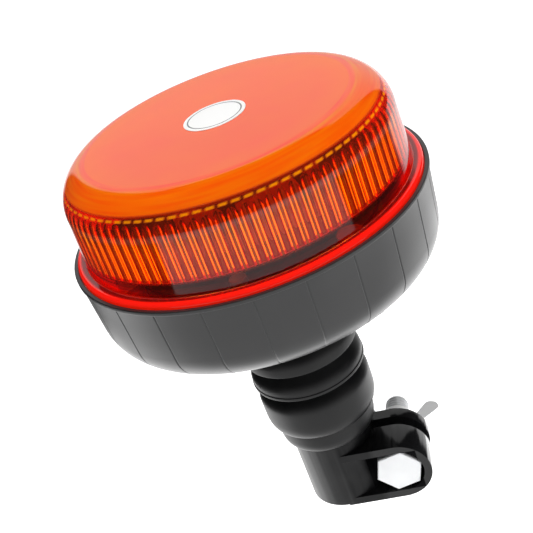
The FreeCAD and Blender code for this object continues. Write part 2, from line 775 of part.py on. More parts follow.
def lens():
    """Amber drum lens: rounded top edge, flange at the foot, upright flutes inside and four screw bosses."""
    body = turned("lens", [
        ("0", "lens_top_z - lens_wall"),
        ("lens_flat_radius", "lens_top_z - lens_wall"),
        ("lens_flat_radius + lens_inner_edge * cos(65)", "lens_edge_z + lens_inner_edge * sin(65)"),
        ("lens_flat_radius + lens_inner_edge * cos(30)", "lens_edge_z + lens_inner_edge * sin(30)"),
        ("lens_inner_radius", "lens_edge_z"),
        ("lens_inner_radius", "foot_top_z + foot_wall"),
        ("foot_radius", "foot_top_z"),
        ("foot_radius", "flange_z"),
        ("flange_radius", "flange_z"),
        ("flange_radius", "flange_top_z - flange_bevel"),
        ("flange_radius - flange_bevel", "flange_top_z"),
        ("lens_radius", "flange_top_z"),
        ("lens_top_radius", "lens_edge_z", "lens_edge", -1),
        ("lens_flat_radius", "lens_top_z"),
        ("0", "lens_top_z"),
    ])
    flute = outline(sketch_on(body, "XY_Plane", "flute_z"), [
        ("lens_inner_radius + flute_root", "-flute_width / 2"),
        ("lens_inner_radius + flute_root", "flute_width / 2"),
        ("lens_inner_radius - flute_depth", "0"),
    ])
    repeat(body, feature(body, "Pad", flute, "lens_edge_z + flute_rise - flute_z"), "flute_count")
    diagonal = "screw_circle * cos(%g)" % BOSS_START
    boss = ring(sketch_on(body, "XY_Plane", "boss_meet_z"), "boss_radius", diagonal, diagonal)
    repeat(body, feature(body, "Pad", boss, "flange_top_z - boss_meet_z"), LENS_SCREWS)
    pilot = ring(sketch_on(body, "XY_Plane", "boss_meet_z"), "screw_radius + thread_clearance",
                 diagonal, diagonal)
    repeat(body, feature(body, "Pocket", pilot, "screw_grip + screw_head", reverse=True), LENS_SCREWS)

    keep(tube("lip_radius - gasket_gap", "base_top_radius - base_wall + gasket_gap", "gasket_thickness",
              z="ledge_z"), "lens_gasket")
    keep(cylinder("label_radius", "label_thickness", z="lens_top_z"), "top_label")


def screw(seat, end, head_below, place):
    """Pan-head screw; its head lies under the seat or on top of it."""
    head_z = seat + " - screw_head" if head_below else seat
    head = cylinder("screw_head_radius", "screw_head", z=head_z, **place)
    low, high = (seat, end) if head_below else (end, seat)
    return fuse(head, cylinder("screw_radius", "(%s) - (%s)" % (high, low), z=low, **place))


def driver_board():
    """Round board on the base's posts, with the parts of its supply and flasher."""
    board = cylinder("board_radius", "board_thickness", z="board_z")
    holes = [cylinder("screw_radius + screw_clearance", "board_thickness", z="board_z",
                      **on_circle("post_circle", angle)) for angle in ring_angles(POSTS, POST_START)]
    keep(cut(board, group(holes)), "driver_board")
    keep(box("socket_length", "socket_width", "socket_height", x="-socket_length / 2", y="-socket_width / 2",
             z="board_z - socket_height"), "lead_socket")
    keep(group([cylinder("capacitor_radius", "capacitor_height", x="%d * capacitor_place" % side,
                         z="board_top_z") for side in (-1, 1)]), "capacitors")
    drum = cylinder("inductor_radius", "inductor_height", y="inductor_place", z="board_top_z")
    waist = cut(cylinder("inductor_radius", "inductor_height / 2", y="inductor_place",
                         z="board_top_z + inductor_height / 4"),
                cylinder("inductor_waist", "inductor_height / 2", y="inductor_place",
                         z="board_top_z + inductor_height / 4"))
    keep(cut(drum, waist), "inductor")
    keep(group([box("chip_length", "chip_width", "chip_height",
                    x="%d * chip_spread - chip_length / 2" % side, y="-chip_place", z="board_top_z")
                for side in (-1, 0, 1)]), "driver_chips")
    keep(group([tube("post_radius", "screw_radius + screw_clearance", "spacer_height", z="board_top_z",
                     **on_circle("post_circle", angle)) for angle in ring_angles(POSTS, POST_START)]),
         "board_spacers")


def led_carrier():
    """Six-sided column that carries a row of emitters to each side, closed by a plugged cap."""
    body = new_body("led_carrier")
    foot = sketch_on(body, "XY_Plane", "carrier_z")
    ring(foot, "board_radius")
    ring(foot, "carrier_hollow")
    feature(body, "Pad", foot, "carrier_flange")
    wall = sketch_on(body, "XY_Plane", "carrier_z")
    outline(wall, hexagon("carrier_flat"))
    ring(wall, "carrier_hollow")
    feature(body, "Pad", wall, "carrier_top_z - carrier_z")
    hole = ring(sketch_on(body, "XY_Plane", "carrier_z"), "screw_radius + screw_clearance",
                "post_circle * cos(%g)" % POST_START, "post_circle * sin(%g)" % POST_START)
    repeat(body, feature(body, "Pocket", hole, "carrier_flange", reverse=True), POSTS)

    plate = prism("carrier_flat", "cap_thickness", z="carrier_top_z")
    plug = cylinder("carrier_hollow - cap_clearance", "cap_plug", z="carrier_top_z - cap_plug")
    keep(fuse(plate, plug), "carrier_cap")

    boards = []
    emitters = []
    for angle in ring_angles(SIDES, 0.0):
        boards.append(side_block("carrier_flat", "led_board_thickness", "led_board_width",
                                 "led_board_height", "0", "led_board_z", angle))
        for step in range(LEDS_PER_BOARD):
            shift = "%d * led_pitch" % (step - LEDS_PER_BOARD // 2)
            emitters.append(side_block("led_face", "led_body", "led_size", "led_size",
                                       shift, "led_z", angle))
    keep(group(boards), "led_boards")
    keep(group(emitters), "led_emitters")


def side_block(reach, depth, width, height, shift, level, angle):
    """A block that faces outward at an angle, its back at the given reach from the Z axis."""
    aside = "(%s - (%s) / 2)" % (shift, width)
    item = box(depth, width, height, z=level,
               x="%s * cos(%g) - %s * sin(%g)" % (reach, angle, aside, angle),
               y="%s * sin(%g) + %s * cos(%g)" % (reach, angle, aside, angle))
    item.Placement.Rotation = turn((0, 0, 1), angle)
    return item


def screws():
    """Lens screws from below the base, and carrier screws through spacers and board into the posts."""
    keep(group([screw("screw_seat_z", "screw_end_z", True, on_circle("screw_circle", angle))
                for angle in ring_angles(LENS_SCREWS, BOSS_START)]), "lens_screws")
    keep(group([screw("carrier_flange_z", "board_z - screw_grip + screw_head", False,
                      on_circle("post_circle", angle))
                for angle in ring_angles(POSTS, POST_START)]), "carrier_screws")


def supply_cable():
    """Sheathed lead up the neck; below it parts into a core to the plunger and one to the earth ring."""
    sheath = cylinder("cable_radius", "cable_top_z - cable_z", z="cable_z")
    live = cylinder("core_radius", "core_length", z="stem_end_z + core_gap")
    earth = cylinder("core_radius", "sqrt(earth_core_reach ^ 2 + earth_core_drop ^ 2)",
                     z="cable_z + core_length / 2")
    lean = math.atan2(number("earth_core_reach"), number("earth_core_drop"))
    earth.Placement.Rotation = turn((0, 1, 0), 180 - math.degrees(lean))
    keep(fuse(sheath, live, earth), "supply_cable")


clamp_socket()
clamp_fasteners()
contacts()
flexible_neck()
neck_stud()
base_shell()
lens()
driver_board()
led_carrier()
screws()
supply_cable()
doc.recompute()

for item in doc.Objects:
    if "Invalid" in item.State or "Error" in item.State:
        raise RuntimeError("%s did not build: %s" % (item.Name, item.State))
for node in nodes:
    if node.Shape.isNull() or not node.Shape.isValid():
        raise RuntimeError("%s has no valid shape" % node.Label)

os.makedirs("parts", exist_ok=True)
for node in nodes:
    node.Shape.exportStep("parts/%s.step" % node.Label)
    print("%-18s %2d solids %11.1f mm3" % (node.Label, len(node.Shape.Solids), node.Shape.Volume))
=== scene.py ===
import math

import bmesh
import bpy
import numpy as np
from mathutils import Matrix, Vector, noise


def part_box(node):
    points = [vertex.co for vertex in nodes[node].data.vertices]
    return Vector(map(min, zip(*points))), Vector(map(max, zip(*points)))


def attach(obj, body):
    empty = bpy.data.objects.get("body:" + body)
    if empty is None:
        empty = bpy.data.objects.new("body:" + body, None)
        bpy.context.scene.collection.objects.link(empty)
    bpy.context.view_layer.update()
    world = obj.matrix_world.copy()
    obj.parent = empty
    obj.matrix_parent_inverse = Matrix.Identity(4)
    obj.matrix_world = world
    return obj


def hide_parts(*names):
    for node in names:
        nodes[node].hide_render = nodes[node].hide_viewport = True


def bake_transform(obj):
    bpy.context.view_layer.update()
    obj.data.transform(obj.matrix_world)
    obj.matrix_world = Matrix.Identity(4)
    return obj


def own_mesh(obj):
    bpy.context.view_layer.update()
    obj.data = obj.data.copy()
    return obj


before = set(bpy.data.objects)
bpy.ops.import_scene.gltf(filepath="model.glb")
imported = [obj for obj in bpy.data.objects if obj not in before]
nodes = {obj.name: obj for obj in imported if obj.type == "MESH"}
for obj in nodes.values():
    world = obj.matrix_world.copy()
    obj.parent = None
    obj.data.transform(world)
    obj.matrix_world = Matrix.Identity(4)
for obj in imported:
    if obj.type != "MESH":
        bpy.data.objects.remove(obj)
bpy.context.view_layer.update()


# Clamp socket: split pole socket with two ears, moulded in one shot of black glass-filled nylon.
# The front ear is deep and hollowed for the bolt head; the mould leaves soft edges and a fine grain.
MM = 0.001
NYLON_DEEP = (0.003, 0.003, 0.0035, 1)
NYLON_WORN = (0.008, 0.008, 0.0085, 1)
NYLON_EDGE = 0.45 * MM
TUBE_ROUGH, TUBE_SHINE = 0.40, 0.28
EAR_ROUGH, EAR_SHINE = 0.13, 0.5
STEM_EDGE, EAR_EDGE = 14 * MM, 17 * MM
# Where the sheen is taken off round the bolt head: painted shade in the recess.
RECESS_NEAR = 11.5 * MM
RECESS_BEYOND = 8.4 * MM
RECESS_HALF = 9.5 * MM
RECESS_RIM = 0.6 * MM
RECESS_SOFT = 0.4 * MM
RECESS_CRISP = 0.1 * MM


def new_finish(name):
    """A node material and its shader."""
    material = bpy.data.materials.new(name)
    material.use_nodes = True
    return material, material.node_tree, material.node_tree.nodes["Principled BSDF"]


def noise_on(tree, size, detail=3.0, stretch=(1, 1, 1)):
    """Noise in the object's own space, with features of about the given size."""
    place = tree.nodes.new("ShaderNodeTexCoord")
    scale = tree.nodes.new("ShaderNodeMapping")
    scale.inputs["Scale"].default_value = stretch
    cloud = tree.nodes.new("ShaderNodeTexNoise")
    cloud.inputs["Scale"].default_value = 1 / size
    cloud.inputs["Detail"].default_value = detail
    tree.links.new(place.outputs["Object"], scale.inputs["Vector"])
    tree.links.new(scale.outputs["Vector"], cloud.inputs["Vector"])
    return cloud.outputs["Fac"]


def tint(tree, shader, fac, dark, light):
    """Let the colour wander between two close tones."""
    ramp = tree.nodes.new("ShaderNodeValToRGB")
    ramp.color_ramp.elements[0].position = 0.3
    ramp.color_ramp.elements[0].color = dark
    ramp.color_ramp.elements[1].position = 0.7
    ramp.color_ramp.elements[1].color = light
    tree.links.new(fac, ramp.inputs["Fac"])
    tree.links.new(ramp.outputs["Color"], shader.inputs["Base Color"])


def polish(tree, shader, fac, low, high):
    """Let the roughness wander between two values."""
    spread = tree.nodes.new("ShaderNodeMapRange")
    spread.inputs["To Min"].default_value = low
    spread.inputs["To Max"].default_value = high
    tree.links.new(fac, spread.inputs["Value"])
    tree.links.new(spread.outputs["Result"], shader.inputs["Roughness"])


def dent(tree, shader, fac, depth, strength=1.0):
    """Raise and dent the surface by the given depth."""
    bump = tree.nodes.new("ShaderNodeBump")
    bump.inputs["Strength"].default_value = strength
    bump.inputs["Distance"].default_value = depth
    tree.links.new(fac, bump.inputs["Height"])
    tree.links.new(bump.outputs["Normal"], shader.inputs["Normal"])


def moulded(name, dark, light, rough, grain, depth, patch):
    """Moulded plastic or rubber: patchy tone and sheen over a fine grain."""
    material, tree, shader = new_finish(name)
    broad = noise_on(tree, patch)
    tint(tree, shader, broad, dark, light)
    polish(tree, shader, broad, *rough)
    dent(tree, shader, noise_on(tree, grain), depth)
    return material


def dress(node, material, edge=0.0, sharp=40):
    """Give a frame node its finish and, with an edge width, soft edges."""
    item = nodes[node]
    item.data.materials.clear()
    item.data.materials.append(material)
    if edge:
        item.modifiers.new("weld", "WELD").merge_threshold = 1e-6
        soft = item.modifiers.new("edge", "BEVEL")
        soft.width = edge
        soft.segments = 3
        soft.limit_method = "ANGLE"
        soft.angle_limit = math.radians(sharp)
        soft.harden_normals = True
    return item


def band(tree, value, low, high, soft):
    """One between the two limits and nought outside them, with soft ends."""
    rise = tree.nodes.new("ShaderNodeMapRange")
    fall = tree.nodes.new("ShaderNodeMapRange")
    both = tree.nodes.new("ShaderNodeMath")
    both.operation = "MULTIPLY"
    for node, start, end in ((rise, low - soft, low), (fall, high + soft, high)):
        node.inputs["From Min"].default_value = start
        node.inputs["From Max"].default_value = end
        tree.links.new(value, node.inputs["Value"])
    tree.links.new(rise.outputs["Result"], both.inputs[0])
    tree.links.new(fall.outputs["Result"], both.inputs[1])
    return both.outputs["Value"]


def calculate(tree, operation, first, second):
    """One step of arithmetic on two values, each a node's output or a number."""
    step = tree.nodes.new("ShaderNodeMath")
    step.operation = operation
    for socket, value in zip(step.inputs, (first, second)):
        if isinstance(value, (int, float)):
            socket.default_value = value
        else:
            tree.links.new(value, socket)
    return step.outputs["Value"]


low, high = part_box("clamp_socket")
bolt_low, bolt_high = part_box("clamp_bolt")
bolt_axis = (bolt_low + bolt_high) / 2
clamp_nylon = moulded("clamp_nylon", NYLON_DEEP, NYLON_WORN, rough=(0.24, 0.36),
                      grain=0.35 * MM, depth=0.008 * MM, patch=9 * MM)
tree = clamp_nylon.node_tree
shader = tree.nodes["Principled BSDF"]
place = tree.nodes.new("ShaderNodeTexCoord")
across = tree.nodes.new("ShaderNodeSeparateXYZ")
tree.links.new(place.outputs["Object"], across.inputs["Vector"])


def from_stem_to_ear(stem, ear):
    """A value that changes where the socket's round stem runs into the ears."""
    change = tree.nodes.new("ShaderNodeMapRange")
    change.inputs["From Min"].default_value = STEM_EDGE
    change.inputs["From Max"].default_value = EAR_EDGE
    change.inputs["To Min"].default_value = stem
    change.inputs["To Max"].default_value = ear
    tree.links.new(across.outputs["X"], change.inputs["Value"])
    return change.outputs["Result"]


tree.links.new(from_stem_to_ear(TUBE_ROUGH, EAR_ROUGH), shader.inputs["Roughness"])
# Painted shade: the sheen is turned off inside the recess round the bolt head, so it reads black as if in
# shadow.
painted_recess_shade = calculate(tree, "MULTIPLY",
                   band(tree, across.outputs["X"], RECESS_NEAR, bolt_axis.x + RECESS_BEYOND, RECESS_SOFT),
                   band(tree, across.outputs["Z"], bolt_axis.z - RECESS_HALF, bolt_axis.z + RECESS_HALF,
                        RECESS_CRISP))
painted_recess_shade = calculate(tree, "MULTIPLY", painted_recess_shade,
                   band(tree, across.outputs["Y"], low.y + RECESS_RIM, 0, RECESS_SOFT))
shine = calculate(tree, "MULTIPLY", from_stem_to_ear(TUBE_SHINE, EAR_SHINE),
                  calculate(tree, "SUBTRACT", 1.0, painted_recess_shade))
tree.links.new(shine, shader.inputs["Specular IOR Level"])
dress("clamp_socket", clamp_nylon, NYLON_EDGE)


# Earth ring, contact bush and plunger in the roof of the socket: turned brass in a brown phenolic bush.
# They meet the end of the pole; the plunger is sprung and held from above by a steel clip.
BRASS_DULL = (0.50, 0.33, 0.10, 1)
BRASS_BRIGHT = (0.80, 0.60, 0.24, 1)
PHENOLIC_DARK = (0.10, 0.045, 0.016, 1)
PHENOLIC_LIGHT = (0.17, 0.08, 0.03, 1)
SPRING_DARK = (0.36, 0.36, 0.37, 1)
SPRING_LIGHT = (0.60, 0.60, 0.61, 1)


def metal(name, dull, bright, rough, scratch, depth, stretch=(1, 1, 1)):
    """Bare or plated metal with fine tool marks."""
    material, tree, shader = new_finish(name)
    shader.inputs["Metallic"].default_value = 1.0
    marks = noise_on(tree, scratch, 4.0, stretch)
    tint(tree, shader, noise_on(tree, 12 * scratch), dull, bright)
    polish(tree, shader, marks, *rough)
    dent(tree, shader, marks, depth, 0.6)
    return material


brass = metal("turned_brass", BRASS_DULL, BRASS_BRIGHT, rough=(0.22, 0.42),
              scratch=0.4 * MM, depth=0.01 * MM, stretch=(1, 1, 6))
spring_steel = metal("spring_steel", SPRING_DARK, SPRING_LIGHT, rough=(0.25, 0.40),
                     scratch=0.5 * MM, depth=0.01 * MM)
phenolic = moulded("phenolic", PHENOLIC_DARK, PHENOLIC_LIGHT, rough=(0.35, 0.5),
                   grain=0.5 * MM, depth=0.02 * MM, patch=4 * MM)
dress("earth_ring", brass, 0.15 * MM)
dress("centre_contact", brass)
dress("contact_holder", phenolic, 0.2 * MM)
dress("contact_clip", spring_steel)


# Plunger spring: cold-coiled steel wire with closed end turns, slipped over the plunger's stem.
# It bears on the bush and shortens as the pole presses the plunger up.
SPRING_TURNS = 5
TURN_STEPS = 24
END_TURN = 0.5
WIRE = 0.4 * MM
WIRE_SIDES = 10


def make_piece(name, points, faces, sharp=35):
    """A mesh object from points and faces, welded, with smooth shading broken at sharp edges."""
    mesh = bpy.data.meshes.new(name)
    mesh.from_pydata([tuple(point) for point in points], [], [tuple(face) for face in faces])
    work = bmesh.new()
    work.from_mesh(mesh)
    bmesh.ops.remove_doubles(work, verts=work.verts, dist=1e-7)
    bmesh.ops.recalc_face_normals(work, faces=work.faces)
    work.to_mesh(mesh)
    work.free()
    mesh.shade_smooth()
    mesh.set_sharp_from_angle(angle=math.radians(sharp))
    item = bpy.data.objects.new(name, mesh)
    bpy.context.scene.collection.objects.link(item)
    return item


def grid_faces(rows, columns, close_rows=True, close_columns=True):
    """Quads of a grid of points, stored row by row, closed on itself where asked."""
    faces = []
    for row in range(rows if close_rows else rows - 1):
        for column in range(columns if close_columns else columns - 1):
            below, beside = (row + 1) % rows, (column + 1) % columns
            faces.append((row * columns + column, row * columns + beside,
                          below * columns + beside, below * columns + column))
    return faces


low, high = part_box("contact_spring")
coil_radius = high.x - WIRE
steps = TURN_STEPS * SPRING_TURNS
turn_share = np.linspace(0, 1, steps)
ends = np.clip(turn_share * (SPRING_TURNS + 2 * END_TURN) - END_TURN, 0, SPRING_TURNS) / SPRING_TURNS
height = low.z + WIRE + (high.z - low.z - 2 * WIRE) * ends
around = 2 * math.pi * SPRING_TURNS * turn_share
ring = np.linspace(0, 2 * math.pi, WIRE_SIDES, endpoint=False)
reach = coil_radius + WIRE * np.cos(ring)[None, :] * np.ones((steps, 1))
points = np.stack([reach * np.cos(around)[:, None], reach * np.sin(around)[:, None],
                   height[:, None] + WIRE * np.sin(ring)[None, :]], -1).reshape(-1, 3)
faces = grid_faces(steps, len(ring), close_rows=False)
faces += [tuple(range(len(ring))), tuple(range(len(points) - len(ring), len(points)))]
spring = make_piece("plunger_spring", points, faces, 60)
spring.data.materials.append(spring_steel)
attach(spring, "contact")
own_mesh(spring)
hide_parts("contact_spring")


# Clamp bolt: cold-headed M10 hex bolt, bright zinc plated, with a bevelled head and a rolled thread.
# The head lies in the front ear's recess and can't turn; the end stands out behind the wing nut.
ZINC_DULL = (0.78, 0.79, 0.80, 1)
ZINC_BRIGHT = (0.92, 0.93, 0.94, 1)
ZINC_SHEEN = 0.3
HEAD_BEVEL = 0.35 * MM
HEAD_HEIGHT = 6.4 * MM
HEAD_TURN = math.radians(15)
HEAD_SIDES = 96
SHANK_RADIUS = 5.0 * MM
THREAD_PITCH = 1.5 * MM
THREAD_DEPTH = 0.4 * MM
THREAD_SIDES = 40
THREAD_STEPS = 8
THREAD_BEFORE_WASHER = 2 * MM
THREAD_POINT = 1.2 * MM
THREAD_RUNOUT = 1.0 * MM
FLANK_SLOPE, FLANK_CREST = 1.8, 0.7

low, high = bolt_low, bolt_high
head_flat = (high.z - low.z) / 2 / math.cos(HEAD_TURN) * math.cos(math.radians(30))
seat_y = low.y + HEAD_HEIGHT
thread_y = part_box("clamp_washer")[0].y - THREAD_BEFORE_WASHER


def along_bolt(across, up, along):
    """A point from its place beside, above and along the bolt's axis."""
    return (bolt_axis.x + across, along, bolt_axis.z + up)


around = np.linspace(0, 2 * math.pi, HEAD_SIDES, endpoint=False)
corner = head_flat / np.cos((around - HEAD_TURN) % (math.pi / 3) - math.pi / 6)
rings = [
    (np.full(HEAD_SIDES, SHANK_RADIUS), seat_y),
    (corner, seat_y),
    (corner, low.y + HEAD_BEVEL),
    (corner - HEAD_BEVEL, low.y),
    (np.zeros(HEAD_SIDES), low.y),
]
points = [along_bolt(r * math.sin(a), r * math.cos(a), y)
          for radii, y in rings for r, a in zip(radii, around)]
faces = grid_faces(len(rings), HEAD_SIDES, close_rows=False)

thread_rows = int((high.y - thread_y) / THREAD_PITCH * THREAD_STEPS)
along = np.linspace(thread_y, high.y, thread_rows)
around = np.linspace(0, 2 * math.pi, THREAD_SIDES, endpoint=False)
phase = (along[:, None] / THREAD_PITCH + around[None, :] / (2 * math.pi)) % 1.0
flank = np.clip(np.abs(2 * phase - 1) * FLANK_SLOPE - FLANK_CREST, 0, 1)
lead = np.minimum(1, (high.y - along) / THREAD_POINT)
start = np.minimum(1, (along - thread_y) / THREAD_RUNOUT)
radius = SHANK_RADIUS - THREAD_DEPTH * np.maximum(flank * start[:, None], 1 - lead[:, None])
shank = [along_bolt(SHANK_RADIUS * math.sin(a), SHANK_RADIUS * math.cos(a), seat_y) for a in around]
shank += [along_bolt(radius[row, column] * math.sin(a), radius[row, column] * math.cos(a), along[row])
          for row in range(thread_rows) for column, a in enumerate(around)]
shank += [along_bolt(0, 0, high.y)] * THREAD_SIDES
offset = len(points)
faces += [tuple(offset + corner_index for corner_index in face)
          for face in grid_faces(thread_rows + 2, THREAD_SIDES, close_rows=False)]
bolt = make_piece("hex_bolt", points + shank, faces, 25)
zinc = metal("zinc_plate", ZINC_DULL, ZINC_BRIGHT, rough=(0.26, 0.36),
             scratch=1.4 * MM, depth=0.006 * MM)
zinc.node_tree.nodes["Principled BSDF"].inputs["Metallic"].default_value = ZINC_SHEEN
bolt.data.materials.append(zinc)
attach(bolt, "clamp")
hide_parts("clamp_bolt")
dress("clamp_washer", zinc, 0.3 * MM)


# Wing nut: hot-forged M10 wing nut, zinc plated, with a tapered hub and two rounded wings.
# It runs on the bolt's thread and draws the ears together on the pole.
# Painted light: the wing nut's plating is a whiter, nearly matt copy of the bolt's zinc, lightened to stand
# in for light that does not reach it.
PAINTED_LIGHT_ZINC_DULL = (0.93, 0.93, 0.93, 1)
PAINTED_LIGHT_ZINC_BRIGHT = (0.98, 0.98, 0.98, 1)
PAINTED_LIGHT_ZINC_SHEEN = 0.05
painted_light_zinc = metal("painted_light_zinc", PAINTED_LIGHT_ZINC_DULL, PAINTED_LIGHT_ZINC_BRIGHT, rough=(0.42, 0.58),
                    scratch=0.6 * MM, depth=0.02 * MM)
painted_light_zinc.node_tree.nodes["Principled BSDF"].inputs["Metallic"].default_value = PAINTED_LIGHT_ZINC_SHEEN
dress("wing_nut", painted_light_zinc, 0.7 * MM)


# Rubber neck: one moulding of black rubber with a collar and bell over the socket's stem,
# three undercut folds that let it bend, and a head under the base. Two meshes meet within the lowest fold.
RUBBER_DEEP = (0.003, 0.003, 0.0035, 1)
RUBBER_DUSTY = (0.007, 0.007, 0.007, 1)
RUBBER_SHINE = 0.45
NECK_COLUMNS = 128
NECK_JOIN = 64.2 * MM
NECK_ROW = 1.5 * MM
NECK_BORE = 6.0 * MM
MOUTH_RADIUS = 16.35 * MM
COLLAR_RADIUS = 19.4 * MM
COLLAR_FOOT = 17.2 * MM
COLLAR_HEIGHT = 9 * MM
COLLAR_SWELL = 4.5 * MM
CREASE_DEPTH = 0.25 * MM
BELL_INSET = 0.3 * MM
BELL_HEIGHT = 19.8 * MM
BELL_SWELL = 6 * MM
BELL_SHOULDER = 4.0 * MM
FOLDS = 3
FOLD_PITCH = 11.25 * MM
FOLD_INSET = 1.2 * MM
GROOVE_DEPTH = 3.6 * MM
GROOVE_ROUND = 0.3 * MM
UNDERCUT = 1.1 * MM
CREST_HEIGHT = 2.3 * MM
CREST_ROUND = 0.35 * MM
FLANK_HEIGHT = 2.5 * MM
FLANK_INSET = 0.25 * MM
SHOULDER = 5.4 * MM
SHOULDER_ROUND = 7.5 * MM
STUD_BORE = 8.4 * MM
STUD_DEPTH = 11 * MM
TAPER_DEPTH = 15 * MM


def rounded(corners, steps=6):
    """An outline whose corners, given as (across, up, radius), are rounded by arcs."""
    points = []
    for index, (across, up, radius) in enumerate(corners):
        here = Vector((across, up))
        if not radius:
            points.append(here)
            continue
        before = (Vector(corners[index - 1][:2]) - here).normalized()
        after = (Vector(corners[(index + 1) % len(corners)][:2]) - here).normalized()
        half = before.angle(after) / 2
        centre = here + (before + after).normalized() * radius / math.sin(half)
        first = here + before * radius / math.tan(half) - centre
        last = here + after * radius / math.tan(half) - centre
        begin = math.atan2(first.y, first.x)
        sweep = (math.atan2(last.y, last.x) - begin + math.pi) % (2 * math.pi) - math.pi
        points += [centre + radius * Vector((math.cos(begin + sweep * step / steps),
                                             math.sin(begin + sweep * step / steps)))
                   for step in range(steps + 1)]
    return points


def lathe(name, outline, columns=NECK_COLUMNS, closed=True, sharp=35):
    """A piece turned about the upright axis from an outline of (radius, height) points."""
    around = np.linspace(0, 2 * math.pi, columns, endpoint=False)
    points = [(r * math.cos(a), r * math.sin(a), z) for r, z in outline for a in around]
    return make_piece(name, points, grid_faces(len(outline), columns, close_rows=closed), sharp)


low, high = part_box("flexible_neck")
head_radius = high.x
fold_radius = head_radius - FOLD_INSET
flank_radius = fold_radius - FLANK_INSET
bell_radius = fold_radius - BELL_INSET
groove_radius = fold_radius - GROOVE_DEPTH
crease_z = low.z + COLLAR_HEIGHT
folds_z = crease_z + BELL_HEIGHT


def swell(start, end, steps=9):
    """Corners along a quarter of an ellipse that leaves the start upright and comes in level at the end."""
    across, up = end[0] - start[0], end[1] - start[1]
    return [(end[0] - across * math.cos(angle), start[1] + up * math.sin(angle), 0)
            for angle in np.linspace(0, math.pi / 2, steps)]


lower_corners = [
    (MOUTH_RADIUS, low.z, 0),
    *reversed(swell((COLLAR_RADIUS, low.z + COLLAR_SWELL), (COLLAR_FOOT, low.z))),
    (COLLAR_RADIUS, crease_z - 0.3 * MM, 0.25 * MM),
    (COLLAR_RADIUS - CREASE_DEPTH, crease_z, 0.12 * MM),
    *reversed(swell((bell_radius, crease_z + BELL_SWELL), (COLLAR_RADIUS + 0.2 * MM, crease_z + 0.1 * MM))),
    (bell_radius, folds_z - BELL_SHOULDER, SHOULDER_ROUND),
    (groove_radius, folds_z, GROOVE_ROUND),
    (fold_radius, folds_z + UNDERCUT, CREST_ROUND),
    (fold_radius, folds_z + CREST_HEIGHT, 0.15 * MM),
    (flank_radius, folds_z + FLANK_HEIGHT, 0.1 * MM),
    (flank_radius, NECK_JOIN, 0),
    (NECK_BORE, NECK_JOIN, 0),
    (NECK_BORE, folds_z, 0),
    (MOUTH_RADIUS, folds_z - 8 * MM, 0),
]
upper_corners = [(flank_radius, NECK_JOIN, 0)]
for fold in range(FOLDS):
    top = folds_z + (fold + 1) * FOLD_PITCH
    crest = fold_radius if fold < FOLDS - 1 else head_radius
    upper_corners += [
        (flank_radius, top - SHOULDER, SHOULDER_ROUND),
        (groove_radius, top, GROOVE_ROUND),
        (crest, top + UNDERCUT, CREST_ROUND),
    ]
upper_corners += [
    (head_radius, high.z, 0.5 * MM),
    (STUD_BORE, high.z, 0),
    (STUD_BORE, high.z - STUD_DEPTH, 0),
    (NECK_BORE, high.z - TAPER_DEPTH, 0),
    (NECK_BORE, NECK_JOIN, 0),
]
neck_rubber = moulded("neck_rubber", RUBBER_DEEP, RUBBER_DUSTY, rough=(0.40, 0.47),
                      grain=0.3 * MM, depth=0.012 * MM, patch=14 * MM)
neck_rubber.node_tree.nodes["Principled BSDF"].inputs["Specular IOR Level"].default_value = RUBBER_SHINE


def spread_rows(outline, gap):
    """Add points on the long straight stretches of an outline."""
    points = []
    for here, there in zip(outline, outline[1:] + outline[:1]):
        pieces = max(1, int((there - here).length / gap))
        points += [here.lerp(there, step / pieces) for step in range(pieces)]
    return points


neck_lower = lathe("neck_lower", spread_rows(rounded(lower_corners), NECK_ROW), sharp=60)
neck_upper = lathe("neck_upper", spread_rows(rounded(upper_corners), NECK_ROW), sharp=60)
for item in (neck_lower, neck_upper):
    item.data.materials.append(neck_rubber)
    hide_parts("flexible_neck")
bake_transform(neck_lower)
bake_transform(neck_upper)


# Stud, washer and nut that hold the base on the neck: zinc-plated steel, turned and pressed.
# The hollow stud is moulded into the neck's head and passes up through the floor of the base.
dress("neck_stud", zinc)
dress("stud_washer", zinc)
dress("stud_nut", zinc)


# Supply cable: two-core lead in a black rubber sheath, laid straight up the bore of the neck to the board.
# Below the sheath its cores part: the live one plugs into the plunger's end, the other goes to earth.
SHEATH_DEEP = (0.018, 0.018, 0.019, 1)
SHEATH_WORN = (0.035, 0.035, 0.036, 1)
LIVE_RED = (0.30, 0.012, 0.010, 1)
LIVE_PALE = (0.42, 0.022, 0.018, 1)
SHEATH_RADIUS = 2.6 * MM
CORE_RADIUS = 0.9 * MM
CORE_LENGTH = 6.0 * MM
CORE_HIDDEN = 1.0 * MM
LIVE_SLACK = 0.4 * MM
EARTH_SLACK = 1.2 * MM
EARTH_REACH = 8.0 * MM
EARTH_RISE = 2.0 * MM
CORE_SIDES = 16
CORE_STEPS = 16


def core(name, start, end, slack):
    """A core of the lead between two (across, up) points, bowed out by its slack, with flat ends."""
    share = np.linspace(0, 1, CORE_STEPS)
    across = start[0] + (end[0] - start[0]) * share + slack * np.sin(math.pi * share)
    path = np.stack([across, start[1] + (end[1] - start[1]) * share], -1)
    ahead = np.gradient(path, axis=0)
    ahead /= np.linalg.norm(ahead, axis=1)[:, None]
    around = np.linspace(0, 2 * math.pi, CORE_SIDES, endpoint=False)
    aside, along = CORE_RADIUS * np.cos(around), CORE_RADIUS * np.sin(around)
    points = [(x + rise * out, depth, z - run * out)
              for (x, z), (run, rise) in zip(path, ahead) for out, depth in zip(aside, along)]
    faces = grid_faces(len(path), CORE_SIDES, close_rows=False)
    faces += [tuple(range(CORE_SIDES)), tuple(range(len(points) - CORE_SIDES, len(points)))]
    return make_piece(name, points, faces, 50)


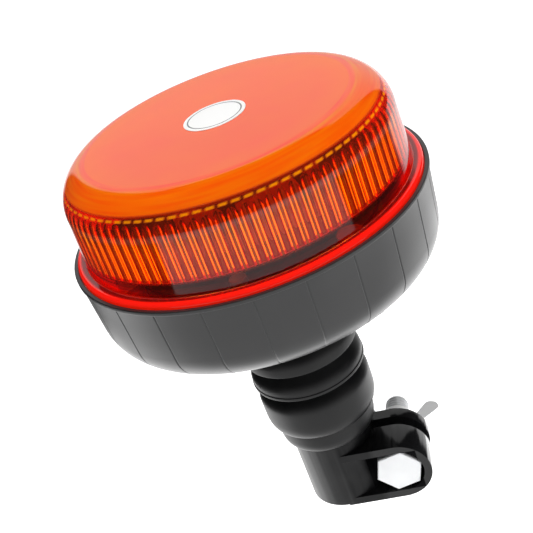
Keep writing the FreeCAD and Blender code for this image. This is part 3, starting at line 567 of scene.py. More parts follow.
low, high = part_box("supply_cable")
stem_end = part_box("centre_contact")[1].z
sheath_z = stem_end + CORE_LENGTH
sheath_outline = rounded([(0, sheath_z, 0), (SHEATH_RADIUS, sheath_z, 0.5 * MM),
                          (SHEATH_RADIUS, high.z, 0.3 * MM), (0, high.z, 0)])
cable_sheath = moulded("cable_sheath", SHEATH_DEEP, SHEATH_WORN, rough=(0.45, 0.6),
                       grain=0.4 * MM, depth=0.02 * MM, patch=5 * MM)
live_cover = moulded("live_cover", LIVE_RED, LIVE_PALE, rough=(0.35, 0.5),
                     grain=0.4 * MM, depth=0.01 * MM, patch=3 * MM)
lead = lathe("sheathed_lead", spread_rows(sheath_outline[:-1], NECK_ROW)[:-1] + sheath_outline[-1:], 32,
             closed=False)
live_core = core("live_core", (0, stem_end - CORE_HIDDEN), (0, sheath_z + CORE_HIDDEN), LIVE_SLACK)
earth_core = core("earth_core", (EARTH_REACH, low.z + CORE_RADIUS), (0, sheath_z + EARTH_RISE), EARTH_SLACK)
for item, cover in ((lead, cable_sheath), (live_core, live_cover), (earth_core, cable_sheath)):
    item.data.materials.append(cover)
    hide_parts("supply_cable")
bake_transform(lead)
for item, bend_z in ((live_core, stem_end), (earth_core, low.z + CORE_RADIUS)):
    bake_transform(item)


# Base shell: shallow tub moulded in satin black plastic, with a rounded foot, a thin lip round the lens
# and fine upright seams at even steps round its side. Four screw wells open in its underside.
SHELL_DEEP = (0.015, 0.015, 0.0155, 1)
SHELL_LIGHT = (0.021, 0.021, 0.0215, 1)
SHELL_SHINE = 0.68
SEAMS = 24
SEAM_REACH = [0.06, 0.15, 0.25, 0.4]
SEAM_DEPTH = 0.2 * MM
PANEL_STEPS = 6
BASE_WALL = 2.5 * MM
BASE_CORNER = 13 * MM
LIP_BAND = 1.5 * MM
LIP_STEP = 0.55 * MM
SIDE_DRAFT = 1.8 * MM
WELL_RADIUS = 3.1 * MM
WELL_DEPTH = 7 * MM
LIP_WALL = 1.55 * MM
LEDGE_DEPTH = 3 * MM
STUD_HOLE = 8.3 * MM
BASE_ROW = 6 * MM
SEAM_HALF = 0.3 * MM
PANEL_MARGIN = 0.6 * MM
SCREW_CIRCLE = 53.2 * MM
SCREW_ANGLES = [math.radians(45 + 90 * step) for step in range(4)]

low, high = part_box("base_shell")
rim_radius, floor_z, rim_z = high.x, low.z, high.z
side_top = rim_radius - LIP_STEP
side_foot = side_top - SIDE_DRAFT
ledge_z = rim_z - LEDGE_DEPTH
lip_inner = rim_radius - LIP_WALL
base_outline = rounded([
    (STUD_HOLE, floor_z, 0),
    (side_foot, floor_z, BASE_CORNER),
    (side_top, rim_z - LIP_BAND, 0.12 * MM),
    (rim_radius, rim_z - LIP_BAND, 0.3 * MM),
    (rim_radius, rim_z, 0.35 * MM),
    (lip_inner, rim_z, 0.25 * MM),
    (lip_inner, ledge_z, 0.2 * MM),
    (side_top - BASE_WALL, ledge_z, 0.2 * MM),
    (side_foot - BASE_WALL, floor_z + BASE_WALL, BASE_CORNER - BASE_WALL),
    (STUD_HOLE, floor_z + BASE_WALL, 0),
], 12)
base_outline = spread_rows(base_outline, BASE_ROW)

pitch = 2 * math.pi / SEAMS
seam_places = [side * reach_mm * MM / rim_radius for reach_mm in SEAM_REACH for side in (-1, 1)]
margin = PANEL_MARGIN / rim_radius
panel_places = list(np.linspace(margin, pitch - margin, PANEL_STEPS))
offsets = np.array(sorted(seam_places + panel_places))
seam_angles = (np.arange(SEAMS)[:, None] * pitch + pitch / 2 + offsets[None, :]).ravel()
nearest = np.abs(seam_angles % pitch - pitch / 2) * rim_radius
groove = np.clip(1 - (nearest / SEAM_HALF) ** 2, 0, 1)
points = []
for index, place in enumerate(base_outline):
    ahead = base_outline[(index + 1) % len(base_outline)] - base_outline[index - 1]
    normal = Vector((ahead.y, -ahead.x)).normalized()
    on_side = place.x > side_foot - BASE_CORNER * 0.6 and place.y < rim_z - LIP_BAND - 0.1 * MM
    outer = on_side and normal.x > 0.05
    for angle, share in zip(seam_angles, groove):
        inset = SEAM_DEPTH * share if outer else 0.0
        r = place.x - normal.x * inset
        points.append((r * math.cos(angle), r * math.sin(angle), place.y - normal.y * inset))
base = make_piece("base_shell_seamed", points, grid_faces(len(base_outline), len(seam_angles)), 30)


def on_circle(radius, angle, height=0.0):
    """A place on a circle round the upright axis."""
    return Vector((radius * math.cos(angle), radius * math.sin(angle), height))


def bored(item, cutters):
    """Cut round holes, given as place, radius and height, out of a piece."""
    work = bmesh.new()
    for place, radius, height in cutters:
        bmesh.ops.create_cone(work, cap_ends=True, segments=40, radius1=radius, radius2=radius, depth=height,
                              matrix=Matrix.Translation(place))
    mesh = bpy.data.meshes.new("cutters")
    work.to_mesh(mesh)
    work.free()
    tool = bpy.data.objects.new("cutters", mesh)
    bpy.context.scene.collection.objects.link(tool)
    change = item.modifiers.new("holes", "BOOLEAN")
    change.object = tool
    change.operation = "DIFFERENCE"
    change.solver = "EXACT"
    bpy.context.view_layer.update()
    result = bpy.data.meshes.new_from_object(item.evaluated_get(bpy.context.evaluated_depsgraph_get()))
    item.modifiers.clear()
    item.data = result
    item.data.set_sharp_from_angle(angle=math.radians(30))
    bpy.data.objects.remove(tool)


shell_plastic = moulded("shell_plastic", SHELL_DEEP, SHELL_LIGHT, rough=(0.32, 0.40),
                        grain=0.28 * MM, depth=0.012 * MM, patch=20 * MM)
shell_plastic.node_tree.nodes["Principled BSDF"].inputs["Specular IOR Level"].default_value = SHELL_SHINE
base.data.materials.append(shell_plastic)
bored(base, [(on_circle(SCREW_CIRCLE, angle, floor_z), WELL_RADIUS, 2 * BASE_WALL)
             for angle in SCREW_ANGLES])
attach(base, "head")
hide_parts("base_shell")


# Screw wells and board posts: tubes moulded up from the floor of the base in the same black plastic.
# The wells guide the lens screws and seat their heads; the posts carry the driver board and take its screws.
WELL_OUTSIDE = 4.5 * MM
WELL_HEIGHT = 17 * MM
SCREW_HOLE = 1.6 * MM
FLOOR_OVERLAP = 0.6
PILOT_RADIUS = 1.45 * MM
POST_RADIUS = 3.5 * MM
POST_FLARE = 0.8 * MM
POST_CIRCLE = 43 * MM
POST_ANGLES = [math.radians(30 + 120 * step) for step in range(3)]
root_z = floor_z + FLOOR_OVERLAP * BASE_WALL
well_outline = [Vector(point) for point in (
    (WELL_RADIUS, root_z), (WELL_OUTSIDE, root_z),
    (WELL_OUTSIDE, floor_z + WELL_HEIGHT), (SCREW_HOLE, floor_z + WELL_HEIGHT),
    (SCREW_HOLE, floor_z + WELL_DEPTH), (WELL_RADIUS, floor_z + WELL_DEPTH))]
for number, angle in enumerate(SCREW_ANGLES):
    well = lathe("screw_well_%d" % (number + 1), well_outline, 40)
    well.location = on_circle(SCREW_CIRCLE, angle)
    well.data.materials.append(shell_plastic)
    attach(well, "head")
dress("lens_screws", zinc, 0.4 * MM)
board_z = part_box("driver_board")[0].z
post_outline = rounded([
    (PILOT_RADIUS, root_z, 0), (POST_RADIUS + POST_FLARE, root_z, 0),
    (POST_RADIUS + POST_FLARE, floor_z + BASE_WALL, 0),
    (POST_RADIUS, floor_z + BASE_WALL + POST_FLARE, POST_FLARE), (POST_RADIUS, board_z, 0.2 * MM),
    (PILOT_RADIUS, board_z, 0.2 * MM)])
for number, angle in enumerate(POST_ANGLES):
    post = lathe("board_post_%d" % (number + 1), post_outline, 40)
    post.location = on_circle(POST_CIRCLE, angle)
    post.data.materials.append(shell_plastic)
    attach(post, "head")


# Driver board and what is soldered to it: green board, sleeved capacitors, a ferrite choke and drivers.
# It lies on posts in the base; ivory spacers stand on it under the emitter carrier.
MASK_DARK = (0.006, 0.060, 0.022, 1)
MASK_LIGHT = (0.012, 0.100, 0.040, 1)
SLEEVE_DEEP = (0.012, 0.012, 0.016, 1)
SLEEVE_LIGHT = (0.030, 0.030, 0.038, 1)
IVORY_DARK = (0.60, 0.55, 0.42, 1)
IVORY_LIGHT = (0.72, 0.68, 0.55, 1)
solder_mask = moulded("solder_mask", MASK_DARK, MASK_LIGHT, rough=(0.3, 0.45),
                      grain=0.8 * MM, depth=0.02 * MM, patch=3 * MM)
sleeve = moulded("capacitor_sleeve", SLEEVE_DEEP, SLEEVE_LIGHT, rough=(0.2, 0.35),
                 grain=0.8 * MM, depth=0.01 * MM, patch=4 * MM)
ferrite = moulded("ferrite", SLEEVE_LIGHT, NYLON_WORN, rough=(0.6, 0.75),
                  grain=0.2 * MM, depth=0.03 * MM, patch=2 * MM)
ivory_nylon = moulded("ivory_nylon", IVORY_DARK, IVORY_LIGHT, rough=(0.4, 0.5),
                      grain=0.4 * MM, depth=0.02 * MM, patch=3 * MM)
dress("driver_board", solder_mask)
dress("capacitors", sleeve, 0.4 * MM)
dress("inductor", ferrite, 0.3 * MM)
dress("driver_chips", ferrite, 0.2 * MM)
dress("lead_socket", ivory_nylon, 0.3 * MM)
dress("board_spacers", ivory_nylon)
screw_zinc = metal("dull_zinc", SPRING_DARK, SPRING_LIGHT, rough=(0.4, 0.55),
                   scratch=0.5 * MM, depth=0.01 * MM)
dress("carrier_screws", screw_zinc, 0.3 * MM)


# Emitter carrier: six-sided black anodised column, a white board of emitters on each side and a plugged cap.
# It throws the flash out through the flutes of the lens.
ANODISED_DEEP = (0.022, 0.022, 0.024, 1)
ANODISED_LIGHT = (0.038, 0.038, 0.040, 1)
BOARD_WHITE = (0.70, 0.70, 0.67, 1)
BOARD_BRIGHT = (0.82, 0.82, 0.80, 1)
PHOSPHOR_DARK = (0.75, 0.50, 0.03, 1)
PHOSPHOR_LIGHT = (0.90, 0.68, 0.08, 1)
anodised = metal("black_anodised", ANODISED_DEEP, ANODISED_LIGHT, rough=(0.35, 0.5),
                 scratch=0.5 * MM, depth=0.01 * MM, stretch=(1, 1, 0.1))
white_mask = moulded("white_mask", BOARD_WHITE, BOARD_BRIGHT, rough=(0.35, 0.5),
                     grain=0.6 * MM, depth=0.01 * MM, patch=4 * MM)
phosphor = moulded("phosphor", PHOSPHOR_DARK, PHOSPHOR_LIGHT, rough=(0.2, 0.35),
                   grain=0.5 * MM, depth=0.02 * MM, patch=2 * MM)
dress("led_carrier", anodised)
dress("led_boards", white_mask)
dress("led_emitters", phosphor, 0.5 * MM)
dress("carrier_cap", white_mask, 0.4 * MM)


# Gasket: soft white silicone ring, cut from sheet and laid on the ledge inside the base's lip.
# The four lens screws draw the lens flange down on it.
SILICONE_DARK = (0.55, 0.55, 0.53, 1)
SILICONE_LIGHT = (0.70, 0.70, 0.68, 1)
silicone = moulded("silicone", SILICONE_DARK, SILICONE_LIGHT, rough=(0.5, 0.65),
                   grain=0.5 * MM, depth=0.02 * MM, patch=6 * MM)
dress("lens_gasket", silicone)


# Lens: amber drum moulded in clear polycarbonate, polished outside, with a rounded top edge and a flange.
# Inside, half-round flutes run up into the rounded edge, where they end in arches; the top is frosted.
# Much of the lens's colour is painted light and shade: rings on its edge, bands on its flange, a lean on its
# top, and a glow.
FLUTES = 90
FLUTE_HALF = 1.55 * MM
FLUTE_DEPTH = 1.25 * MM
FLUTE_PLACES = [-1, -0.92, -0.75, -0.5, -0.25, 0, 0.25, 0.5, 0.75, 0.92, 1]
FLUTE_RISE = 6.5 * MM
LENS_WALL = 2.5 * MM
LENS_EDGE = 13.3 * MM
LENS_DRAFT = 0.7 * MM
FLANGE_HEIGHT = 3.2 * MM
FLANGE_WIDTH = 3.5 * MM
FLANGE_FACE = 1.35 * MM
FOOT_STEP = 0.8 * MM
FOOT_BAND = 3.4 * MM
NEAR = 0.05 * MM
SAME = 0.01 * MM
OUTER_PER_FLUTE = 4
AMBER_IOR = 1.58
AMBER_THROUGH = (0.998, 0.84, 0.0, 1)
AMBER_DENSITY = 1000
CLEAR = (1.0, 1.0, 1.0, 1.0)
# Painted light and shade on the rounded edge: a deep red zone, yellow and pink rings, a dark line and a
# dashed ring copy light refracted and reflected there; the orange band is a frosted diffusing layer.
PAINTED_SHADE_RED = (1.0, 0.06, 0.01, 0.92)
FLUTE_RED = (1.0, 0.12, 0.02, 1.0)
FLUTE_EYE = 0.3
# Painted light: the lens is given a red glow in its flutes and on its flange's rim, though it holds no lit
# lamp.
FLUTE_GLOW = 0.26
GLOW_AMBER = (1.0, 0.025, 0.0, 1)
FLANGE_GLOW = 0.28
PAINTED_DASH_AMBER = (1.0, 0.30, 0.0, 0.30)
FROSTED_TOP = (0.95, 0.12, 0.018, 0.15)
FROSTED_EDGE = (1.0, 0.14, 0.0, 0.22)
PAINTED_YELLOW_EDGE = (1.0, 0.20, 0.0, 0.25)
PAINTED_PINK_EDGE = (0.95, 0.10, 0.03, 0.15)
PAINTED_EDGE_LINE = (0.86, 0.085, 0.02, 0.15)
# Painted light and shade on the flange: a bright red rim where light was channelled through, and a dark band
# inside it.
PAINTED_LIGHT_FLANGE = (0.85, 0.004, 0.006, 0.20)
PAINTED_SHADE_FLANGE = (0.22, 0.008, 0.010, 0.70)
HAZE_ROUGH = 0.45
FROST_FROM = 42
EDGE_TONES = [(0, CLEAR), (12, PAINTED_SHADE_RED), (38, PAINTED_SHADE_RED), (FROST_FROM, FROSTED_EDGE), (70, FROSTED_EDGE),
              (74, PAINTED_YELLOW_EDGE), (76, PAINTED_YELLOW_EDGE), (80, PAINTED_PINK_EDGE), (86, PAINTED_PINK_EDGE), (90, PAINTED_EDGE_LINE)]
DASH_FROM, DASH_TO = 31, 35
STREAK_WIDTH = 4.0
EDGE_STREAK = 0.5
# The top's lean mixes patchy tone with painted light: pinker in front, oranger at the back and the rim.
TOP_RIM = 6.0
TOP_RIM_FROM = 0.8
BROAD_PATCH = 25 * MM
FINE_PATCH = 8 * MM
GREEN_LEAN = 0.14
BLUE_LEAN = 0.3
DASH_GAP = 0.6
STREAKS = 3
EYE_SOFT = 0.2
GLOW_FADE = 4 * MM
GLOW_FOOT = 0.5 * MM
FLUTE_ROWS = [0.02 * MM, 0.1 * MM, 5.0 * MM, 10.0 * MM]
ARCH_ROW = 0.3 * MM

low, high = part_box("lens")
flange_radius = high.x
flange_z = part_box("lens_gasket")[1].z
flange_top = flange_z + FLANGE_HEIGHT
wall_radius = flange_radius - FLANGE_WIDTH
wall_top = wall_radius - LENS_DRAFT
top_z = high.z
edge_z = top_z - LENS_EDGE
flat_radius = wall_top - LENS_EDGE
inner_radius = wall_top - LENS_WALL
inner_edge = LENS_EDGE - LENS_WALL
ceiling = top_z - LENS_WALL
foot_radius = inner_radius - FOOT_STEP
foot_top = flange_top + FOOT_BAND
flute_foot = foot_top + FOOT_STEP

quarter = [math.radians(angle) for angle in range(0, 90, 2)]
outer_rows = rounded([
    (flange_radius, flange_z, 0.3 * MM),
    (flange_radius, flange_top, 1.3 * MM),
    (flange_radius - 2.0 * MM, flange_top, 0),
    (flange_radius - 2.1 * MM, flange_top, 0),
    (wall_radius, flange_top, 0.5 * MM),
    (wall_top, edge_z, 0),
    (flat_radius, edge_z, 0),
], 8)[:-2]
outer_rows += [Vector((flat_radius + LENS_EDGE * math.cos(a), edge_z + LENS_EDGE * math.sin(a)))
               for a in quarter]
outer_rows += [Vector((flat_radius, top_z))]
outer_rows += [Vector((r, top_z)) for r in np.linspace(flat_radius - 0.1 * MM, 0, 16)]

inner_rows = [(foot_radius, flange_z), (foot_radius, foot_top), (inner_radius, flute_foot)]
inner_rows += [(inner_radius, flute_foot + rise) for rise in FLUTE_ROWS]
inner_rows += [(flat_radius + math.sqrt(inner_edge ** 2 - rise ** 2), edge_z + rise)
               for rise in np.arange(0, FLUTE_RISE, ARCH_ROW)]
inner_rows += [(flat_radius + inner_edge * math.cos(a), edge_z + inner_edge * math.sin(a))
               for a in np.radians(range(39, 91, 3))]
inner_rows += [(flat_radius / 2, ceiling), (0, ceiling)]

flute_pitch = 2 * math.pi / FLUTES
shares = np.array(FLUTE_PLACES + [flute_pitch * inner_radius / FLUTE_HALF / 2])
inner_angles = (np.arange(FLUTES)[:, None] * flute_pitch
                + shares[None, :] * FLUTE_HALF / inner_radius).ravel()
flute_face = inner_radius - FLUTE_DEPTH * np.sqrt(np.clip(1 - np.tile(shares, FLUTES) ** 2, 0, 1))
per_outer = len(shares) // OUTER_PER_FLUTE
outer_angles = inner_angles[::per_outer]

points = [(r * math.cos(a), r * math.sin(a), z) for r, z in outer_rows for a in outer_angles]
faces = grid_faces(len(outer_rows), len(outer_angles), close_rows=False)
inner_start = len(points)
for r, z in inner_rows:
    reach = np.minimum(flute_face, r) if z > flute_foot + SAME else np.full(len(inner_angles), r)
    points += list(zip(reach * np.cos(inner_angles), reach * np.sin(inner_angles), np.full(len(reach), z)))
faces += [tuple(inner_start + corner_index for corner_index in face)
          for face in grid_faces(len(inner_rows), len(inner_angles), close_rows=False)]
for column in range(len(outer_angles)):
    first = column * per_outer
    inner_ring = [inner_start + (first + step) % len(inner_angles) for step in range(per_outer + 1)]
    faces.append((column, (column + 1) % len(outer_angles), *reversed(inner_ring)))
lens = make_piece("fluted_lens", points, faces, 40)


def between(first, second, share):
    """A tone part of the way from one to another."""
    share = min(1.0, max(0.0, share))
    return tuple(start + (end - start) * share for start, end in zip(first, second))


def lens_tone_and_painted_light(place):
    """Colour and clearness of the skin, much of it painted light: frosted top, painted rings on the edge,
    painted flange, clear wall, amber flutes.
    """
    r, z = place.xy.length, place.z
    rise = z - edge_z
    azimuth = math.atan2(place.y, place.x)
    turn = azimuth / flute_pitch
    aside = (turn - round(turn)) * flute_pitch * inner_radius / FLUTE_HALF
    # Painted light: the flange's rim is painted bright red and its inner top painted dark.
    if z < flange_top + SAME and r > wall_radius + 0.2 * MM:
        return PAINTED_LIGHT_FLANGE if r > flange_radius - FLANGE_FACE else PAINTED_SHADE_FLANGE
    # Painted light: the frosted top is painted pinker towards the front and oranger towards the back and the
    # rim, on top of its patchy tone.
    if z > top_z - SAME:
        patchy_and_painted_lean = place.y / flat_radius + noise.noise(place / BROAD_PATCH)
        patchy_and_painted_lean += 0.5 * noise.noise(place / FINE_PATCH)
        patchy_and_painted_lean += max(0.0, r / flat_radius - TOP_RIM_FROM) * TOP_RIM
        red, green, blue, clear = FROSTED_TOP
        return (red, green * (1 + GREEN_LEAN * patchy_and_painted_lean), blue * max(0.0, 1 - BLUE_LEAN * patchy_and_painted_lean), clear)
    # Painted light: the rounded edge is painted in rings that copy refracted and reflected light and shade,
    # over the frosting and random streaks.
    if rise > 0 and math.hypot(r - flat_radius, rise) > LENS_EDGE - MM:
        angle = math.degrees(math.atan2(rise, r - flat_radius))
        if DASH_FROM < angle < DASH_TO and not 0 < aside < DASH_GAP:
            return PAINTED_DASH_AMBER
        streak = noise.noise(Vector((STREAKS * math.cos(azimuth), STREAKS * math.sin(azimuth),
                                     angle / STREAK_WIDTH)))
        streak *= EDGE_STREAK if angle > FROST_FROM else 0.0
        for (start, first), (end, second) in zip(EDGE_TONES, EDGE_TONES[1:]):
            if angle <= end:
                red, green, blue, clear = between(first, second, (angle - start) / (end - start))
                return (red, green * (1 + streak), blue, clear)
    inside = inner_radius if rise < 0 else flat_radius + math.sqrt(max(0.0, inner_edge ** 2 - rise ** 2))
    # The flutes are red on their flanks and clear down their middles: partly the dye in the thicker flanks,
    # partly painted light that sets the bright line in each flute.
    if z > flute_foot + NEAR and r < inside + NEAR and rise < FLUTE_RISE:
        return between(CLEAR, FLUTE_RED, (abs(aside) - FLUTE_EYE) / EYE_SOFT)
    return CLEAR


def lens_haze(place):
    """One on the frosted inside above the flutes, and nought elsewhere."""
    beyond = max(0.0, place.xy.length - flat_radius)
    inside = math.hypot(beyond, place.z - edge_z) < inner_edge + 0.1 * MM
    return 1.0 if inside and place.z > edge_z + FLUTE_RISE else 0.0


def lens_painted_glow(place):
    """Strength of a painted glow, though the lens is no lamp: even in the flutes up to the rounded edge, and
    on the flange's rim.
    """
    r, z = place.xy.length, place.z
    if r > flange_radius - FLANGE_FACE and flange_z + GLOW_FOOT < z:
        return FLANGE_GLOW
    if z > flute_foot + NEAR and r < inner_radius + NEAR:
        return FLUTE_GLOW * min(1.0, max(0.0, (edge_z + MM - z) / GLOW_FADE))
    return 0.0


tone = lens.data.attributes.new("tone", "FLOAT_COLOR", "POINT")
tone.data.foreach_set("color", [part for vertex in lens.data.vertices for part in lens_tone_and_painted_light(vertex.co)])
haze = lens.data.attributes.new("haze", "FLOAT", "POINT")
haze.data.foreach_set("value", [lens_haze(vertex.co) for vertex in lens.data.vertices])
glow = lens.data.attributes.new("glow", "FLOAT", "POINT")
glow.data.foreach_set("value", [lens_painted_glow(vertex.co) for vertex in lens.data.vertices])

amber, tree, shader = new_finish("amber_polycarbonate")
shader.inputs["IOR"].default_value = AMBER_IOR
toned = tree.nodes.new("ShaderNodeAttribute")
toned.attribute_name = "tone"
tree.links.new(toned.outputs["Color"], shader.inputs["Base Color"])
tree.links.new(toned.outputs["Alpha"], shader.inputs["Transmission Weight"])
hazed = tree.nodes.new("ShaderNodeAttribute")
hazed.attribute_name = "haze"
polish(tree, shader, hazed.outputs["Fac"], 0.03, HAZE_ROUGH)
# Painted light: the glow attribute drives an emission, so the lens glows unlit.
glowing = tree.nodes.new("ShaderNodeAttribute")
glowing.attribute_name = "glow"
shader.inputs["Emission Color"].default_value = GLOW_AMBER
tree.links.new(glowing.outputs["Fac"], shader.inputs["Emission Strength"])
dent(tree, shader, noise_on(tree, 9 * MM, 2.0), 0.02 * MM, 0.3)
absorb = tree.nodes.new("ShaderNodeVolumeAbsorption")
absorb.inputs["Color"].default_value = AMBER_THROUGH
absorb.inputs["Density"].default_value = AMBER_DENSITY
tree.links.new(absorb.outputs["Volume"], tree.nodes["Material Output"].inputs["Volume"])
lens.data.materials.append(amber)
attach(lens, "head")
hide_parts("lens")


# Lens bosses: four amber stubs that hang from the lens flange and stand on the screw wells of the base.
# They are one moulding with the lens; a pilot hole in each takes a thread-forming screw from below.
BOSS_DARK = (0.80, 0.14, 0.004, 1)
BOSS_LIGHT = (0.95, 0.20, 0.008, 1)
BOSS_CLEAR = 0.6
BOSS_RADIUS = 4.5 * MM
BOSS_JOIN = 0.6 * MM
PILOT_DEPTH = 11 * MM
boss_amber = moulded("boss_amber", BOSS_DARK, BOSS_LIGHT, rough=(0.06, 0.12),
                     grain=0.8 * MM, depth=0.005 * MM, patch=4 * MM)
boss_amber.node_tree.nodes["Principled BSDF"].inputs["Transmission Weight"].default_value = BOSS_CLEAR
pilot_top = low.z + PILOT_DEPTH
boss_top = flange_z + BOSS_JOIN
boss_outline = [Vector((0, pilot_top))] + rounded([
    (PILOT_RADIUS, pilot_top, 0.3 * MM), (PILOT_RADIUS, low.z, 0.3 * MM), (BOSS_RADIUS, low.z, 0.4 * MM),
    (BOSS_RADIUS, boss_top, 0.3 * MM), (0, boss_top, 0), (0, pilot_top, 0),
])[:-1]
for number, angle in enumerate(SCREW_ANGLES):
    boss = lathe("lens_boss_%d" % (number + 1), boss_outline, 40, closed=False)
    boss.location = on_circle(SCREW_CIRCLE, angle)
    boss.data.materials.append(boss_amber)
    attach(boss, "head")


# Label: round disc of white film stuck on the middle of the lens, die cut, with its edge pressed down.
# It is blank but for a thin printed ring near its edge.
FILM_WHITE = (0.86, 0.86, 0.85, 1)
FILM_PRINT = (0.16, 0.16, 0.17, 1)
RING_PLACE = 0.86
RING_WIDTH = 0.045
FILM_LIFT = 0.02 * MM
FILM_EDGE = 0.1 * MM
label_low, label_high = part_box("top_label")
label_radius = label_high.x
label_foot = label_low.z + FILM_LIFT
label_outline = rounded([(0, label_foot, 0), (label_radius, label_foot, 0),
                         (label_radius, label_high.z, FILM_EDGE), (0, label_high.z, 0)], 4)
label = lathe("blank_label", label_outline, 96, closed=False, sharp=60)
film, tree, shader = new_finish("label_film")
place = tree.nodes.new("ShaderNodeTexCoord")
split = tree.nodes.new("ShaderNodeSeparateXYZ")
flat = tree.nodes.new("ShaderNodeCombineXYZ")
distance = tree.nodes.new("ShaderNodeVectorMath")
distance.operation = "LENGTH"
ring_near = tree.nodes.new("ShaderNodeMath")
ring_near.operation = "COMPARE"
ring_near.inputs[1].default_value = RING_PLACE * label_radius
ring_near.inputs[2].default_value = RING_WIDTH * label_radius / 2
print_mix = tree.nodes.new("ShaderNodeMix")
print_mix.data_type = "RGBA"
print_mix.inputs["A"].default_value = FILM_WHITE
print_mix.inputs["B"].default_value = FILM_PRINT
tree.links.new(place.outputs["Object"], split.inputs["Vector"])
tree.links.new(split.outputs["X"], flat.inputs["X"])
tree.links.new(split.outputs["Y"], flat.inputs["Y"])
tree.links.new(flat.outputs["Vector"], distance.inputs[0])
tree.links.new(distance.outputs["Value"], ring_near.inputs[0])
tree.links.new(ring_near.outputs["Value"], print_mix.inputs["Factor"])
tree.links.new(print_mix.outputs["Result"], shader.inputs["Base Color"])
polish(tree, shader, noise_on(tree, 2 * MM), 0.38, 0.5)
label.data.materials.append(film)
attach(label, "head")
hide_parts("top_label")


# Studio: pale floor well below the part and a pale backdrop that only the camera sees. Two soft panels,
# above and low at the right, and bright zones of the surroundings give the light. The camera has the
# photograph's angle, distance and roll, aimed about the middle of the lens rim.
FLOOR_Z = -0.28
FLOOR_REACH = 6.0
FLOOR_PALE = (0.9, 0.9, 0.9, 1)
FLOOR_ROUGH = 0.9
WHITE = (1, 1, 1, 1)
BACKDROP_RADIUS = 9.0
VIEW_TURN = math.radians(15.3)
VIEW_RISE = math.radians(24.801)
VIEW_PAN = math.radians(0.260)
VIEW_TILT = math.radians(-3.694)
VIEW_ROLL = math.radians(-20.684)
VIEW_DISTANCE = 0.359399
VIEW_CENTRE = Vector((0, 0, 0.135))
FOCAL_PIXELS = 1007.423
PHOTO_PIXELS = 533
TOP_LIGHT = 3.6
SIDE_LIGHT = 5.5
BACK_TURN, BACK_RISE, BACK_LIGHT = (-20, 42), (-4, 47), 0.65
SWEEP_TURN, SWEEP_RISE, SWEEP_LIGHT = (-18, 52), (-31, -6), 1.2
FRONT_TURN, FRONT_RISE, FRONT_LIGHT = (-64, 58), (-31, -6), 0.7
TABLE_TURN, TABLE_RISE, TABLE_LIGHT = (-200, 200), (-100, -31), 1.0
BEHIND_TURN, BEHIND_LIGHT = (-75, 75), 1.6
ROOM_LIGHT = 0.03
CRISP, SOFT, VERY_SOFT = 2, 8, 30

camera = bpy.data.objects.new("camera", bpy.data.cameras.new("camera"))
bpy.context.scene.collection.objects.link(camera)
bpy.context.scene.camera = camera
camera.data.lens = camera.data.sensor_width * FOCAL_PIXELS / PHOTO_PIXELS
facing = Matrix.Rotation(VIEW_TURN, 4, "Z") @ Matrix.Rotation(math.pi / 2 - VIEW_RISE, 4, "X")
aim = facing @ Matrix.Rotation(VIEW_PAN, 4, "Y") @ Matrix.Rotation(VIEW_TILT, 4, "X")
camera.matrix_world = (Matrix.Translation(VIEW_CENTRE + facing @ Vector((0, 0, VIEW_DISTANCE)))
                       @ aim @ Matrix.Rotation(VIEW_ROLL, 4, "Z"))
camera.data.clip_start = 0.01

floor_mesh = bpy.data.meshes.new("floor")
floor_corners = [(x * FLOOR_REACH, y * FLOOR_REACH, FLOOR_Z)
                 for x, y in ((-1, -1), (1, -1), (1, 1), (-1, 1))]
floor_mesh.from_pydata(floor_corners, [], [(0, 1, 2, 3)])
floor = bpy.data.objects.new("floor", floor_mesh)
bpy.context.scene.collection.objects.link(floor)
floor_paint, tree, shader = new_finish("floor_paint")
shader.inputs["Base Color"].default_value = FLOOR_PALE
shader.inputs["Roughness"].default_value = FLOOR_ROUGH
shader.inputs["Emission Color"].default_value = WHITE
shader.inputs["Emission Strength"].default_value = 1.0
floor.data.materials.append(floor_paint)
floor.visible_glossy = False

work = bmesh.new()
bmesh.ops.create_uvsphere(work, u_segments=48, v_segments=24, radius=BACKDROP_RADIUS)
backdrop_mesh = bpy.data.meshes.new("backdrop")
work.to_mesh(backdrop_mesh)
work.free()
backdrop = bpy.data.objects.new("backdrop", backdrop_mesh)
bpy.context.scene.collection.objects.link(backdrop)
backdrop.data.materials.append(floor_paint)
backdrop.visible_diffuse = False
backdrop.visible_glossy = False
backdrop.visible_transmission = False
backdrop.visible_volume_scatter = False
backdrop.visible_shadow = False


def softbox(name, turn, rise, distance, width, height, brightness):
    """A flat panel of even white light that faces the part."""
    panel = bpy.data.lights.new(name, "AREA")
    panel.shape = "RECTANGLE"
    panel.size = width
    panel.size_y = height
    panel.energy = brightness * math.pi * width * height
    item = bpy.data.objects.new(name, panel)
    bpy.context.scene.collection.objects.link(item)
    turn, rise = math.radians(turn), math.radians(rise)
    away = Vector((math.sin(turn) * math.cos(rise), -math.cos(turn) * math.cos(rise), math.sin(rise)))
    item.location = VIEW_CENTRE + away * distance
    item.rotation_euler = away.to_track_quat("Z", "Y").to_euler()
    return item


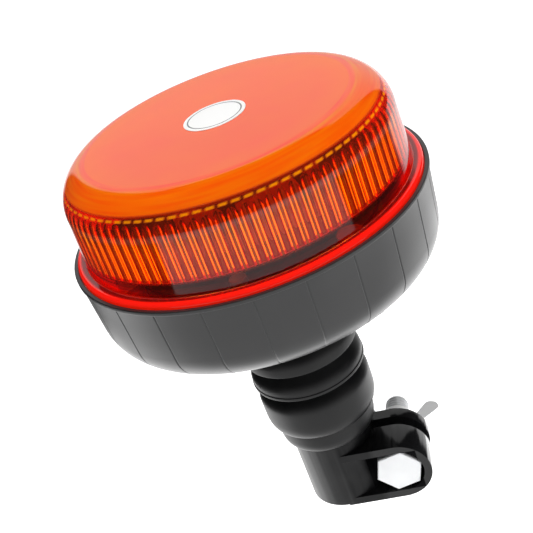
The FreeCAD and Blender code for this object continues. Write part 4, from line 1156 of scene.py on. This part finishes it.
def panel_light(tree, around, upward, turn, rise, brightness, soft):
    """Brightness of a panel that spans a range of turns and of rises, seen from the part."""
    across = band(tree, around, *[math.radians(angle) for angle in turn], math.radians(soft))
    heights = [math.sin(math.radians(max(-90, angle))) for angle in rise]
    up = band(tree, upward, *heights, math.radians(CRISP))
    return calculate(tree, "MULTIPLY", calculate(tree, "MULTIPLY", across, up), brightness)


top_fill = softbox("top_fill", turn=15, rise=78, distance=1.0, width=1.4, height=1.0,
                   brightness=TOP_LIGHT)
top_fill.visible_glossy = False
side_fill = softbox("side_fill", turn=75, rise=-28, distance=0.5, width=0.4, height=0.3,
                    brightness=SIDE_LIGHT)
side_fill.visible_glossy = False
side_fill.visible_transmission = False

world = bpy.data.worlds.new("studio")
bpy.context.scene.world = world
world.use_nodes = True
tree = world.node_tree
ahead = tree.nodes.new("ShaderNodeTexCoord")
turned = tree.nodes.new("ShaderNodeVectorRotate")
turned.rotation_type = "Z_AXIS"
turned.inputs["Angle"].default_value = -VIEW_TURN
parts = tree.nodes.new("ShaderNodeSeparateXYZ")
tree.links.new(ahead.outputs["Generated"], turned.inputs["Vector"])
tree.links.new(turned.outputs["Vector"], parts.inputs["Vector"])
aside, upward = parts.outputs["X"], parts.outputs["Z"]
back_turn = calculate(tree, "ARCTAN2", aside, parts.outputs["Y"])
front_turn = calculate(tree, "ARCTAN2", aside, calculate(tree, "MULTIPLY", parts.outputs["Y"], -1.0))
total = ROOM_LIGHT
for around, turn, rise, brightness, soft in (
        (back_turn, BACK_TURN, BACK_RISE, BACK_LIGHT, CRISP),
        (back_turn, SWEEP_TURN, SWEEP_RISE, SWEEP_LIGHT, SOFT),
        (back_turn, BEHIND_TURN, TABLE_RISE, BEHIND_LIGHT, VERY_SOFT),
        (front_turn, FRONT_TURN, FRONT_RISE, FRONT_LIGHT, CRISP),
        (front_turn, TABLE_TURN, TABLE_RISE, TABLE_LIGHT, CRISP)):
    total = calculate(tree, "ADD", total, panel_light(tree, around, upward, turn, rise, brightness, soft))
tree.nodes["Background"].inputs["Color"].default_value = WHITE
tree.links.new(total, tree.nodes["Background"].inputs["Strength"])
bpy.context.scene.view_settings.view_transform = "Standard"
